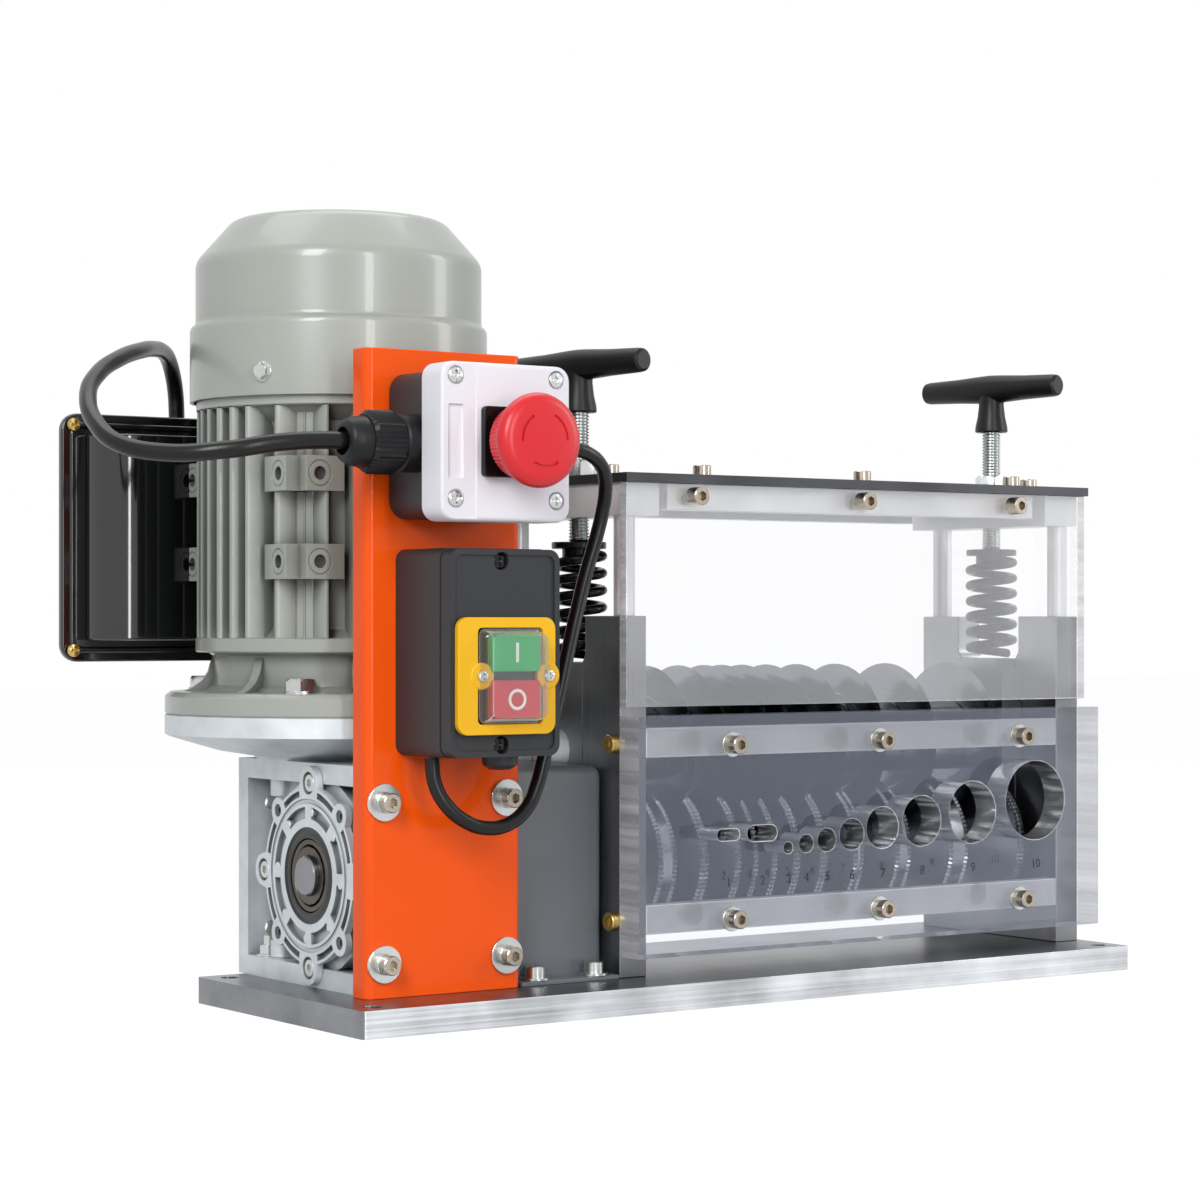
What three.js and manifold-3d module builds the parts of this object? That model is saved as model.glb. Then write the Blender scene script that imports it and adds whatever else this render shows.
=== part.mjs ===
// A bench wire stripping machine: a geared motor turns a grooved feed roller under ten
// round blades, and two T-handled screws press the blades down through springs.
// Millimetres, +Z up. Every place is measured from the front left bottom corner of the
// base plate: x along its length, y to the back, z up. The whole is then moved so that
// the origin lies at the middle of the base's underside.

import * as THREE from 'three';
import { mergeVertices } from 'three/addons/utils/BufferGeometryUtils.js';
import Module from 'manifold-3d';

const wasm = await Module();
wasm.setup();

// Clearances
const fitGap = 0.3;
const blindGap = 1;
const overrun = 2;

// Base plate
const baseEndMargin = 4;
const baseWidth = 150;
const baseThickness = 12;
const baseCorner = 2;
const baseHoleRadius = 4;
const baseHoleInset = 11;

// Bracket channel, folded from sheet, that carries the gearbox and the two control boxes
const bracketLeft = 20;
const bracketWidth = 80;
const bracketFront = 31;
const bracketSheet = 3;
const bracketFlange = 12;
const bracketHeight = 281.5;

// Worm gearbox: its output axis lies along X and its worm stands upright
const axisToFoot = 50;
const wormCentres = 40;
const gearboxHeight = 100;
const gearboxDepth = 121.5;
const gearboxFootWidth = 71;
const gearboxFootThickness = 9;
const gearboxWebWidth = 44;
const gearboxHubRadius = 44;
const gearboxHubWidth = 66;
const wormCaseRadius = 27;
const wheelSpaceRadius = 31;
const wheelSpaceWidth = 34;
const wormBoreRadius = 12;
const wormBoreFloor = 8;
const footHoleSpanX = 63;
const footHoleSpanZ = 70;
const footHoleRadius = 3.25;
const backHoleInset = 12;

// Gearbox output cover
const coverThickness = 6;
const coverDiscRadius = 36.5;
const coverLobeCount = 8;
const coverLobePitchRadius = 38.5;
const coverLobeRadius = 6.5;
const coverHoleRadius = 3;
const coverHoleDepth = 3;

// Worm wheel on its hollow shaft
const hollowShaftRadius = 13;
const hollowShaftLength = 77;
const wheelRadius = 29;
const wheelWidth = 22;

// Input flange, motor and fan cowl
const flangeRadius = 80;
const flangeThickness = 10;
const flangeConeHeight = 10.8;
const flangeSeatRadius = 38;
const flangeConeRadius = 74;
const shieldFlangeThickness = 10.4;
const shieldBodyRadius = 58;
const shieldBodyHeight = 18;
const shieldRingRadius = 66;
const shieldRingHeight = 6.5;
const gussetThickness = 5;
const gussetReach = 16;
const gussetCount = 8;
const motorFrameRadius = 54;
const motorFinRadius = 66;
const motorFinsPerSide = 6;
const motorFinPitch = 9.3;
const motorFinWidth = 2.6;
const motorRailOffset = 36.9;
const motorCornerRadius = 59;
const motorCornerWidth = 9;
const motorFinHeight = 104.1;
const motorTopHeight = 8.9;
const motorPadFace = 54.8;
const motorPadInner = 28.8;
const motorPadOuter = 48;
const motorPadHeight = 16;
const motorSides = 4;
const boxSide = 1;
const motorPadRise = 34;
const motorPadSpacing = 39;
const motorBoreRadius = 34;
const pedestalLeft = 41;
const pedestalWidth = 16;
const pedestalHeight = 50;
const cowlRadius = 68.6;
const cowlSkirtHeight = 34;
const cowlBodyRadius = 66;
const cowlBodyHeight = 27;
const cowlShoulderRadius = 62;
const cowlShoulderHeight = 8;
const cowlTopRadius = 48;
const cowlTopHeight = 14;
const cowlCrown = 1.5;
const cowlWall = 1.5;
const cowlStep = 2;
const cowlLap = 5;
const cowlSlotWidth = 3.2;
const cowlSlotInner = 14;
const cowlSlotOuter = 40;
const cowlSlotCount = 12;

// Rotor with worm and fan
const wormRadius = 9.8;
const wormLength = 62;
const motorShaftRadius = 7;
const rotorRadius = 33;
const rotorLength = 72;
const rotorRise = 18;
const fanRadius = 57;
const fanHubRadius = 14;
const fanDiscThickness = 4;
const fanBladeHeight = 14;
const fanBladeThickness = 2;
const fanBladeCount = 8;
const fanRise = 7;

// Capacitor box behind the motor
const boxLeft = -49;
const boxWidth = 110;
const boxFlangeThickness = 4;
const boxBottom = 156.5;
const boxHeight = 115;
const boxCorner = 8;
const boxRim = 10;
const boxWall = 2;
const tubDepth = 22;
const tubFlatShare = 0.42;
const shellInset = 3;
const shellSideInset = 18;
const shellDepth = 28;

// Emergency stop box
const stopBoxLeft = 31;
const stopBoxWidth = 56;
const stopBoxBottom = 219.5;
const stopBoxHeight = 63;
const stopBoxDepth = 35.6;
const stopBoxCorner = 8;
const stopBoxWall = 3;
const glandStandoff = 23;
const lidLeft = 26;
const lidWidth = 65;
const lidBottom = 217.5;
const lidHeight = 67;
const lidThickness = 16.4;
const lidWall = 4;
const lidCorner = 6;
const lidStepWidth = 17;
const lidStepDepth = 1.5;
const collarSize = 30;
const collarThickness = 3;
const collarCorner = 2;
const stemRadius = 7;
const stemInside = 1.6;
const mushroomRadius = 20;
const mushroomDepth = 15;
const mushroomShares = [[0.5, 0.06], [0.85, 0.25], [1, 0.6], [1, 0.85], [0.92, 1]];
const mushroomSkirtRadius = 14.5;
const mushroomSkirtDepth = 4.5;
const mushroomTravel = 4;
const mushroomSeat = 6;

// Cable glands and cables
const glandCollarRadius = 12.5;
const glandCollarLength = 10.4;
const glandNutAcross = 24;
const glandNutLength = 16.2;
const glandDomeRadius = 11;
const glandMouthRadius = 7;
const glandDomeLength = 9.7;
const glandBoreDepth = 6;
const motorCableRadius = 3.8;
const controlCableRadius = 3.2;
const plugRadius = 8;
const plugHeight = 6;
const plugAcrossShare = 0.6;
const plugBackShare = 0.7;
const plugShares = [[0.6, 0.08], [1, 0.5]];

// Switch box
const switchLeft = 34.5;
const switchWidth = 56.5;
const switchBottom = 117;
const switchHeight = 89.5;
const switchDepth = 44;
const switchCorner = 5;
const switchWall = 3;
const frameLeft = 37;
const frameWidth = 49.5;
const frameBottom = 127;
const frameHeight = 50;
const frameThickness = 3;
const frameCorner = 5;
const windowLeft = 47;
const windowWidth = 33;
const windowBottom = 131.5;
const windowHeight = 41;
const earRadius = 4.2;
const earInset = 1;
const earSpacing = 35.5;
const bootDepth = 11;
const bootWall = 1.2;
const buttonWidth = 24;
const buttonInset = 5.8;
const buttonHeight = 16.5;
const buttonSpacing = 3.5;
const buttonProud = 6;
const buttonInside = 9;

// Side plates and their slots
const leftPlateX = 155;
const rightPlateX = 427;
const plateThickness = 15;
const plateFront = 33;
const plateDepth = 102;
const plateTop = 177.8;
const slotWidth = 46;
const slotFloor = 156;
const slotCorner = 5;
const guideWidth = 42;
const guideFloor = 84;
const shaftHoleRadius = 10.6;

// Feed roller and blades: one channel for each guide hole, left to right
const shaftRadius = 10;
const outputShaftRadius = 9;
const outputShaftLength = 82;
const rollerRadius = 35;
const rollerLeft = 189;
const rollerRight = 421;
const grooveFloorRadius = 12.5;
const grooveFloorWidth = 5;
const bladeAxisZ = 115;
const bladeRadius = 39;
const bladeThickness = 3;
const bladeBevel = 4;
const spacerRadius = 16;
const channelPlaces = [206.3, 226.1, 241.6, 252.4, 264.9, 280.2, 299.3, 324.2, 357.1, 399];
const grooveWidths = [13, 15, 7, 8, 9.5, 12, 16, 20, 25, 33];

// Bearing blocks, springs, collars, screws and T-handles
const blockInside = 13.5;
const blockRollerGap = 3;
const springOffset = 12.5;
const springRadius = 13.5;
const springWire = 4.5;
const springTurns = 6;
const springSteps = 8;
const springHeight = 53.5;
const pressCollarRadius = 13;
const pressCollarThickness = 3.2;
const pressBossRadius = 8;
const pressBossHeight = 6;
const screwRadius = 5;
const screwLength = 71;
const screwHoleGap = 0.5;
const handleHubRadius = 8.5;
const handleHubTopRadius = 6.5;
const handleHubHeight = 20;
const handleBarZ = 22.5;
const handleBarLength = 86;
const handleBarRadius = 7.5;
const handleEndRadius = 5.75;
const handlePocket = 10;
const handleAngle = -80;

// Head frame
const bridgeWidth = 22;
const bridgeInset = 0.5;
const bridgeBottom = 223.8;
const bridgeHeight = 15.2;
const pillarRadius = 5;
const pillarInset = 7;
const topPlateThickness = 4.3;
const topPlateFront = 26;
const topPlateBack = 136;
const topPlateOverhang = 1;
const barLeft = 182;
const barRight = 411;
const barHeight = 12;
const barDepth = 10;

// Guards
const upperGuardThickness = 5;
const upperGuardBottom = 136;
const lowerGuardThickness = 15;
const lowerGuardBottom = 22;
const lowerGuardHeight = 110;
const lowerBarDepth = 8;
const lowerBarHeight = 13.5;
const lowerBarBottom = 31;
const upperBarBottom = 112.5;
const holeFloor = 66;
const slotHoleZ = 76.5;
const slotEndShare = 0.49;
const slotHoleSizes = [[13.5, 6], [18, 8]];
const roundHoleSizes = [6, 9, 11.5, 15.5, 20.5, 25, 31, 40];

// Cover over the shaft between the gearbox and the left side plate
const hoodFront = 45;
const hoodDepth = 83;
const hoodHeight = 97;
const hoodSheet = 2;
const hoodFoot = 13;

// Finishes: colour, roughness, metalness
const finishes = {
  steel: [0x6e6f72, 0.4, 0.9],
  orangePaint: [0xf45a1e, 0.25, 0],
  castAluminium: [0xc8cfd4, 0.5, 0.6],
  motorPaint: [0xa0a59e, 0.45, 0],
  blackPlastic: [0x1b1c1e, 0.4, 0],
  blackPaint: [0x0c0d0f, 0.15, 0],
  palePlastic: [0xe4e2ea, 0.4, 0],
  redPlastic: [0xe0383e, 0.35, 0],
  greyPlastic: [0x45464b, 0.6, 0],
  yellowPlastic: [0xf8ce3c, 0.4, 0],
  clearPlastic: [0xdfe6ea, 0.1, 0],
  greenPlastic: [0x3db67e, 0.35, 0],
  stopPlastic: [0xd2404f, 0.35, 0],
  greyPaint: [0x5a5d61, 0.4, 0],
  brushedAluminium: [0xc9ccd2, 0.35, 0.9],
  bladeSteel: [0xb4b8be, 0.2, 1],
  bronze: [0xb08a4a, 0.35, 0.9],
  acrylic: [0xd7dde6, 0.05, 0],
  springSteel: [0x151617, 0.3, 0.5],
  zinc: [0xb9bec2, 0.3, 0.9],
};

// Fineness of round surfaces, in sides
const fineSides = 28;
const roundSides = 20;
const mediumSides = 16;
const smallSides = 12;
const tinySides = 8;
const hexSides = 6;
const springSides = 5;
const cornerSteps = 3;
const cableSteps = 26;

// Places that follow from the sizes
const axisY = bracketFront + bracketSheet + axisToFoot;
const axisZ = baseThickness + axisToFoot;
const gearX = bracketLeft + bracketWidth / 2;
const motorY = axisY + wormCentres;
const baseLength = rightPlateX + plateThickness + baseEndMargin;
const boxFlangeFront = motorY + shieldRingRadius;
const footY = bracketFront + bracketSheet;
const gearboxTop = baseThickness + gearboxHeight;
const flangeTop = gearboxTop + flangeConeHeight + flangeThickness;
const shieldTop = flangeTop + shieldFlangeThickness + shieldBodyHeight + shieldRingHeight;
const finTop = shieldTop + motorFinHeight;
const motorTop = finTop + motorTopHeight;
const motorTopRadius = cowlRadius - cowlWall - fitGap;
const bridgeTop = bridgeBottom + bridgeHeight;
const stopAxisZ = lidBottom + lidHeight / 2;
const stopAxisX = gearX;
const lidFront = bracketFront - stopBoxDepth - lidThickness;
const switchFront = bracketFront - switchDepth;
const pressCollarZ = slotFloor + springHeight;
const screwBottom = pressCollarZ + pressCollarThickness + fitGap;
const handleBottom = screwBottom + screwLength - handlePocket;
const leftSpringX = leftPlateX + springOffset;
const rightSpringX = rightPlateX + plateThickness - springOffset;

// Turns a closed geometry into a solid, with its faces pointing out
function solid(geometry) {
  const bare = geometry.clone();
  bare.deleteAttribute('normal');
  bare.deleteAttribute('uv');
  const merged = mergeVertices(bare);
  const points = merged.attributes.position.array;
  const corner = (i) => new THREE.Vector3().fromArray(points, i * 3);
  const index = merged.index.array;
  const faces = [];
  let volume = 0;
  for (let i = 0; i < index.length; i += 3) {
    const [a, b, c] = [index[i], index[i + 1], index[i + 2]];
    if (a === b || b === c || c === a) {
      continue;
    }
    volume += corner(a).dot(corner(b).cross(corner(c)));
    faces.push([a, b, c]);
  }
  const outward = volume > 0 ? faces : faces.map(([a, b, c]) => [a, c, b]);
  const triVerts = new Uint32Array(outward.flat());
  return new wasm.Manifold(new wasm.Mesh({ numProp: 3, vertProperties: points, triVerts }));
}

// A box between two corners
function block(x0, x1, y0, y1, z0, z1) {
  const geometry = new THREE.BoxGeometry(x1 - x0, y1 - y0, z1 - z0);
  geometry.translate((x0 + x1) / 2, (y0 + y1) / 2, (z0 + z1) / 2);
  return solid(geometry);
}

// A body turned on a lathe: the profile holds [radius, place along the axis]
function turned(profile, axis, at, sides) {
  const points = profile.map(([radius, along]) => new THREE.Vector2(radius, along));
  const geometry = new THREE.LatheGeometry(points, sides);
  if (axis === 'x') {
    geometry.rotateZ(-Math.PI / 2);
  }
  if (axis === 'z') {
    geometry.rotateX(Math.PI / 2);
  }
  geometry.translate(at[0], at[1], at[2]);
  return solid(geometry);
}

// A round bar from one place along its axis to another
function rod(radius, from, to, axis, at, sides) {
  return turned([[0, from], [radius, from], [radius, to], [0, to]], axis, at, sides);
}

// A flat shape given a thickness: in plane xy it rises from `start` in z, in plane yz it
// runs from `start` in x, and in plane xz it runs from `start` to the back
function slab(shape, thickness, plane, start) {
  const options = { depth: thickness, bevelEnabled: false, curveSegments: cornerSteps };
  const geometry = new THREE.ExtrudeGeometry(shape, options);
  const [ex, ey, ez] = [
    new THREE.Vector3(1, 0, 0),
    new THREE.Vector3(0, 1, 0),
    new THREE.Vector3(0, 0, 1),
  ];
  const turn = new THREE.Matrix4();
  if (plane === 'xy') {
    geometry.translate(0, 0, start);
  }
  if (plane === 'yz') {
    geometry.applyMatrix4(turn.makeBasis(ey, ez, ex));
    geometry.translate(start, 0, 0);
  }
  if (plane === 'xz') {
    geometry.applyMatrix4(turn.makeBasis(ex, ez, ey.negate()));
    geometry.translate(0, start + thickness, 0);
  }
  return solid(geometry);
}

function roundedRectangle(left, bottom, width, height, corner) {
  const shape = new THREE.Shape();
  const quarter = Math.PI / 2;
  shape.absarc(left + width - corner, bottom + corner, corner, -quarter, 0);
  shape.absarc(left + width - corner, bottom + height - corner, corner, 0, quarter);
  shape.absarc(left + corner, bottom + height - corner, corner, quarter, 2 * quarter);
  shape.absarc(left + corner, bottom + corner, corner, 2 * quarter, 3 * quarter);
  return shape;
}

function join(bodies) {
  return bodies.reduce((sum, body) => sum.add(body));
}

function cut(body, tools) {
  return tools.reduce((rest, tool) => rest.subtract(tool), body);
}

// Winds a closed tube along points, with rings square to the path
function windTube(points, radius) {
  const [rings, sides] = [points.length, springSides];
  const positions = [];
  const faces = [];
  let side = new THREE.Vector3(1, 0, 0);
  for (let i = 0; i < rings; i += 1) {
    const ahead = points[Math.min(i + 1, rings - 1)].clone().sub(points[i]).normalize();
    const behind = points[i].clone().sub(points[Math.max(i - 1, 0)]).normalize();
    const along = ahead.add(behind).normalize();
    side = side.clone().addScaledVector(along, -side.dot(along)).normalize();
    const up = along.clone().cross(side);
    for (let k = 0; k < sides; k += 1) {
      const angle = (2 * Math.PI * k) / sides;
      const spoke = side.clone().multiplyScalar(Math.cos(angle) * radius);
      spoke.addScaledVector(up, Math.sin(angle) * radius);
      positions.push(...points[i].clone().add(spoke).toArray());
    }
  }
  for (let i = 0; i < rings - 1; i += 1) {
    for (let k = 0; k < sides; k += 1) {
      const next = (k + 1) % sides;
      const [a, b] = [i * sides + k, i * sides + next];
      faces.push(a, b, b + sides, a, b + sides, a + sides);
    }
  }
  const last = (rings - 1) * sides;
  for (let k = 1; k < sides - 1; k += 1) {
    faces.push(0, k + 1, k, last, last + k, last + k + 1);
  }
  const geometry = new THREE.BufferGeometry();
  geometry.setAttribute('position', new THREE.Float32BufferAttribute(positions, 3));
  geometry.setIndex(faces);
  return geometry;
}

// A cord as a round section swept along a smooth curve through its points
function cord(points, radius) {
  const curve = new THREE.CatmullRomCurve3(points.map((p) => new THREE.Vector3(...p)));
  const section = new THREE.Shape();
  for (let k = 0; k < tinySides; k += 1) {
    const angle = (2 * Math.PI * k) / tinySides;
    const [x, y] = [radius * Math.cos(angle), radius * Math.sin(angle)];
    if (k === 0) {
      section.moveTo(x, y);
    } else {
      section.lineTo(x, y);
    }
  }
  const options = { steps: cableSteps, extrudePath: curve };
  return solid(new THREE.ExtrudeGeometry(section, options));
}

const machine = new THREE.Group();
machine.position.set(-baseLength / 2, -baseWidth / 2, 0);

// Adds one named piece in one finish
function addPiece(name, body, finish) {
  const mesh = body.getMesh();
  const geometry = new THREE.BufferGeometry();
  geometry.setAttribute('position', new THREE.Float32BufferAttribute(mesh.vertProperties, 3));
  geometry.setIndex(Array.from(mesh.triVerts));
  geometry.computeVertexNormals();
  const [color, roughness, metalness] = finishes[finish];
  const material = new THREE.MeshStandardMaterial({ color, roughness, metalness });
  const piece = new THREE.Mesh(geometry, material);
  piece.name = name;
  machine.add(piece);
}

function basePlate() {
  const shape = roundedRectangle(0, 0, baseLength, baseWidth, baseCorner);
  const plate = slab(shape, baseThickness, 'xy', 0);
  const holes = [];
  for (const x of [baseHoleInset, baseLength - baseHoleInset]) {
    for (const y of [baseHoleInset, baseWidth - baseHoleInset]) {
      const at = [x, y, 0];
      holes.push(rod(baseHoleRadius, -overrun, baseThickness + overrun, 'z', at, roundSides));
    }
  }
  return cut(plate, holes);
}

function bracketPlate() {
  const right = bracketLeft + bracketWidth;
  const back = bracketFront + bracketFlange;
  const top = baseThickness + bracketHeight;
  const whole = block(bracketLeft, right, bracketFront, back, baseThickness, top);
  const inside = block(
    bracketLeft + bracketSheet, right - bracketSheet,
    footY, back + overrun,
    baseThickness - overrun, top + overrun,
  );
  return cut(whole, [inside, ...footHoles(bracketFront - overrun, footY + overrun)]);
}

// The four bolt holes that the bracket and the gearbox foot share
function footHoles(from, to) {
  const holes = [];
  for (const x of [gearX - footHoleSpanX / 2, gearX + footHoleSpanX / 2]) {
    for (const z of [axisZ - footHoleSpanZ / 2, axisZ + footHoleSpanZ / 2]) {
      holes.push(rod(footHoleRadius, from, to, 'y', [x, 0, z], tinySides));
    }
  }
  return holes;
}

function gearboxHousing() {
  const [left, right] = [gearX - gearboxFootWidth / 2, gearX + gearboxFootWidth / 2];
  const back = footY + gearboxDepth;
  const foot = gearboxFootThickness;
  const [webLeft, webRight] = [gearX - gearboxWebWidth / 2, gearX + gearboxWebWidth / 2];
  const [hubLeft, hubRight] = [gearX - gearboxHubWidth / 2, gearX + gearboxHubWidth / 2];
  const outputAt = [0, axisY, axisZ];
  const wormAt = [gearX, motorY, 0];
  const casting = join([
    block(webLeft, webRight, footY, back, baseThickness, gearboxTop),
    block(left, right, footY, footY + foot, baseThickness, gearboxTop),
    block(left, right, back - foot, back, baseThickness, gearboxTop),
    block(left, right, footY, back, baseThickness, baseThickness + foot),
    block(left, right, footY, back, gearboxTop - foot, gearboxTop),
    rod(gearboxHubRadius, hubLeft, hubRight, 'x', outputAt, fineSides),
    rod(wormCaseRadius, baseThickness, gearboxTop, 'z', wormAt, mediumSides),
  ]);
  const [spaceLeft, spaceRight] = [gearX - wheelSpaceWidth / 2, gearX + wheelSpaceWidth / 2];
  const boreRadius = hollowShaftRadius + fitGap;
  const bores = [
    coverOutline(fitGap, left - overrun, hubLeft),
    rod(wheelSpaceRadius, spaceLeft, spaceRight, 'x', outputAt, roundSides),
    rod(boreRadius, hubLeft - overrun, hubRight + overrun, 'x', outputAt, mediumSides),
    rod(wormBoreRadius, baseThickness + wormBoreFloor, gearboxTop + overrun, 'z', wormAt, smallSides),
    ...footHoles(footY - overrun, footY + foot - blindGap),
  ];
  for (const x of [left + backHoleInset, right - backHoleInset]) {
    for (const z of [baseThickness + backHoleInset + foot, gearboxTop - backHoleInset - foot]) {
      const ends = [back - foot - overrun, back + overrun];
      bores.push(rod(footHoleRadius, ends[0], ends[1], 'y', [x, 0, z], tinySides));
    }
  }
  return cut(casting, bores);
}

function lobePlace(i) {
  const angle = (2 * Math.PI * i) / coverLobeCount;
  return [
    axisY + coverLobePitchRadius * Math.cos(angle),
    axisZ + coverLobePitchRadius * Math.sin(angle),
  ];
}

// The lobed disc of the output cover, grown by a clearance
function coverOutline(clearance, from, to) {
  const parts = [rod(coverDiscRadius + clearance, from, to, 'x', [0, axisY, axisZ], fineSides)];
  for (let i = 0; i < coverLobeCount; i += 1) {
    const [y, z] = lobePlace(i);
    parts.push(rod(coverLobeRadius + clearance, from, to, 'x', [0, y, z], tinySides));
  }
  return join(parts);
}

function outputCover() {
  const face = gearX - gearboxHubWidth / 2 - coverThickness;
  const back = face + coverThickness;
  const at = [0, axisY, axisZ];
  const discs = [coverOutline(0, face, back)];
  const front = bracketFront + bracketFlange + fitGap;
  const tools = [block(
    face - overrun, back + overrun, front - gearboxDepth, front,
    axisZ - gearboxHeight, axisZ + gearboxHeight,
  )];
  const floor = face + coverHoleDepth;
  for (let i = 0; i < coverLobeCount; i += 1) {
    const [y, z] = lobePlace(i);
    tools.push(rod(coverHoleRadius, face - overrun, floor, 'x', [0, y, z], tinySides));
  }
  const bore = hollowShaftRadius + fitGap;
  tools.push(rod(bore, face - overrun, back + overrun, 'x', at, mediumSides));
  return cut(join(discs), tools);
}

function wormWheel() {
  const [end, half] = [hollowShaftLength / 2, wheelWidth / 2];
  const bore = outputShaftRadius + fitGap;
  const profile = [
    [bore, -end], [hollowShaftRadius, -end], [hollowShaftRadius, -half], [wheelRadius, -half],
    [wheelRadius, half], [hollowShaftRadius, half], [hollowShaftRadius, end], [bore, end],
    [bore, -end],
  ];
  return turned(profile, 'x', [gearX, axisY, axisZ], mediumSides);
}

function inputFlange() {
  const shoulder = gearboxTop + flangeConeHeight;
  const profile = [
    [wormBoreRadius, gearboxTop], [flangeSeatRadius, gearboxTop], [flangeConeRadius, shoulder],
    [flangeRadius, shoulder], [flangeRadius, flangeTop], [wormBoreRadius, flangeTop],
    [wormBoreRadius, gearboxTop],
  ];
  return turned(profile, 'z', [gearX, motorY, 0], fineSides);
}

function motorEndShield() {
  const step = flangeTop + shieldFlangeThickness;
  const ringFoot = step + shieldBodyHeight;
  const bore = motorShaftRadius + blindGap;
  const profile = [
    [bore, flangeTop], [flangeRadius, flangeTop], [flangeRadius, step], [shieldBodyRadius, step],
    [shieldBodyRadius, ringFoot], [shieldRingRadius, ringFoot], [shieldRingRadius, shieldTop],
    [bore, shieldTop], [bore, flangeTop],
  ];
  const shell = turned(profile, 'z', [gearX, motorY, 0], fineSides);
  const reach = shieldBodyRadius + gussetReach;
  const inner = shieldBodyRadius - overrun;
  const web = new THREE.Shape();
  web.moveTo(inner, step - overrun);
  web.lineTo(reach, step - overrun);
  web.lineTo(reach, step);
  web.lineTo(inner, ringFoot);
  const ribs = [];
  for (let i = 0; i < gussetCount; i += 1) {
    const options = { depth: gussetThickness, bevelEnabled: false };
    const rib = new THREE.ExtrudeGeometry(web, options);
    rib.translate(0, 0, -gussetThickness / 2);
    rib.rotateX(Math.PI / 2);
    rib.rotateZ(((2 * i + 1) * Math.PI) / gussetCount);
    rib.translate(gearX, motorY, 0);
    ribs.push(solid(rib));
  }
  return join([shell, ...ribs]);
}

// A box beside the motor axis, between two distances along a direction and two across it,
// turned to that direction's angle
function sideBlock(from, to, low, high, z0, z1, angle) {
  const geometry = new THREE.BoxGeometry(to - from, high - low, z1 - z0);
  geometry.translate((from + to) / 2, (low + high) / 2, (z0 + z1) / 2);
  geometry.rotateZ(angle);
  geometry.translate(gearX, motorY, 0);
  return solid(geometry);
}

function radialBlock(from, to, width, z0, z1, angle) {
  return sideBlock(from, to, -width / 2, width / 2, z0, z1, angle);
}

// Four sides of parallel fins round a tube, with a pair of drilled pads at every corner but
// the one that faces the capacitor box, where one pad is left out
function motorFrame() {
  const at = [gearX, motorY, 0];
  const parts = [
    rod(motorFrameRadius, shieldTop, finTop, 'z', at, fineSides),
    rod(motorTopRadius, finTop, motorTop, 'z', at, fineSides),
  ];
  const offsets = [-motorRailOffset, motorRailOffset];
  for (let i = 0; i < motorFinsPerSide; i += 1) {
    offsets.push((i - (motorFinsPerSide - 1) / 2) * motorFinPitch);
  }
  const half = motorFinWidth / 2;
  for (let side = 0; side < motorSides; side += 1) {
    const angle = (2 * Math.PI * side) / motorSides;
    for (const offset of offsets) {
      const tip = Math.sqrt(motorFinRadius ** 2 - (Math.abs(offset) + half) ** 2);
      const [low, high] = [offset - half, offset + half];
      parts.push(sideBlock(motorBoreRadius, tip, low, high, shieldTop, finTop, angle));
    }
    const corner = angle + Math.PI / motorSides;
    const [root, reach] = [motorBoreRadius, motorCornerRadius];
    parts.push(radialBlock(root, reach, motorCornerWidth, shieldTop, finTop, corner));
    for (const rise of [motorPadRise, motorPadRise + motorPadSpacing]) {
      const z0 = shieldTop + rise - motorPadHeight / 2;
      const z1 = z0 + motorPadHeight;
      const [inner, outer] = [motorPadInner, motorPadOuter];
      parts.push(sideBlock(root, motorPadFace, -outer, -inner, z0, z1, angle));
      if (side !== boxSide) {
        parts.push(sideBlock(root, motorPadFace, inner, outer, z0, z1, angle));
      }
    }
  }
  const boxMiddle = boxBottom + boxHeight / 2;
  parts.push(block(
    pedestalLeft, pedestalLeft + pedestalWidth, motorY + motorBoreRadius, boxFlangeFront,
    boxMiddle - pedestalHeight / 2, boxMiddle + pedestalHeight / 2,
  ));
  return cut(join(parts), [
    rod(motorBoreRadius, shieldTop - overrun, finTop, 'z', at, roundSides),
    rod(motorShaftRadius + blindGap, finTop - overrun, motorTop + overrun, 'z', at, smallSides),
  ]);
}

function fanCowl() {
  const foot = motorTop - cowlLap;
  const skirt = foot + cowlSkirtHeight;
  const body = skirt + cowlStep + cowlBodyHeight;
  const shoulder = body + cowlShoulderHeight;
  const top = shoulder + cowlTopHeight;
  const outer = [
    [cowlRadius, foot], [cowlRadius, skirt], [cowlBodyRadius, skirt + cowlStep],
    [cowlBodyRadius, body], [cowlShoulderRadius, shoulder], [cowlTopRadius, top],
    [0, top + cowlCrown],
  ];
  const inner = outer.map(([radius, z], i) => [
    Math.max(radius - cowlWall, 0),
    i < 2 ? z : z - cowlWall,
  ]).reverse();
  inner[inner.length - 1][1] = foot;
  const shell = turned([[cowlRadius - cowlWall, foot], ...outer, ...inner.slice(0, -1),
    [cowlRadius - cowlWall, foot]], 'z', [gearX, motorY, 0], fineSides);
  const slots = [];
  for (let i = 0; i < cowlSlotCount; i += 1) {
    const angle = (2 * i * Math.PI) / cowlSlotCount;
    const [low, high] = [shoulder, top + cowlTopHeight];
    slots.push(radialBlock(cowlSlotInner, cowlSlotOuter, cowlSlotWidth, low, high, angle));
  }
  return cut(shell, slots);
}

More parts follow.
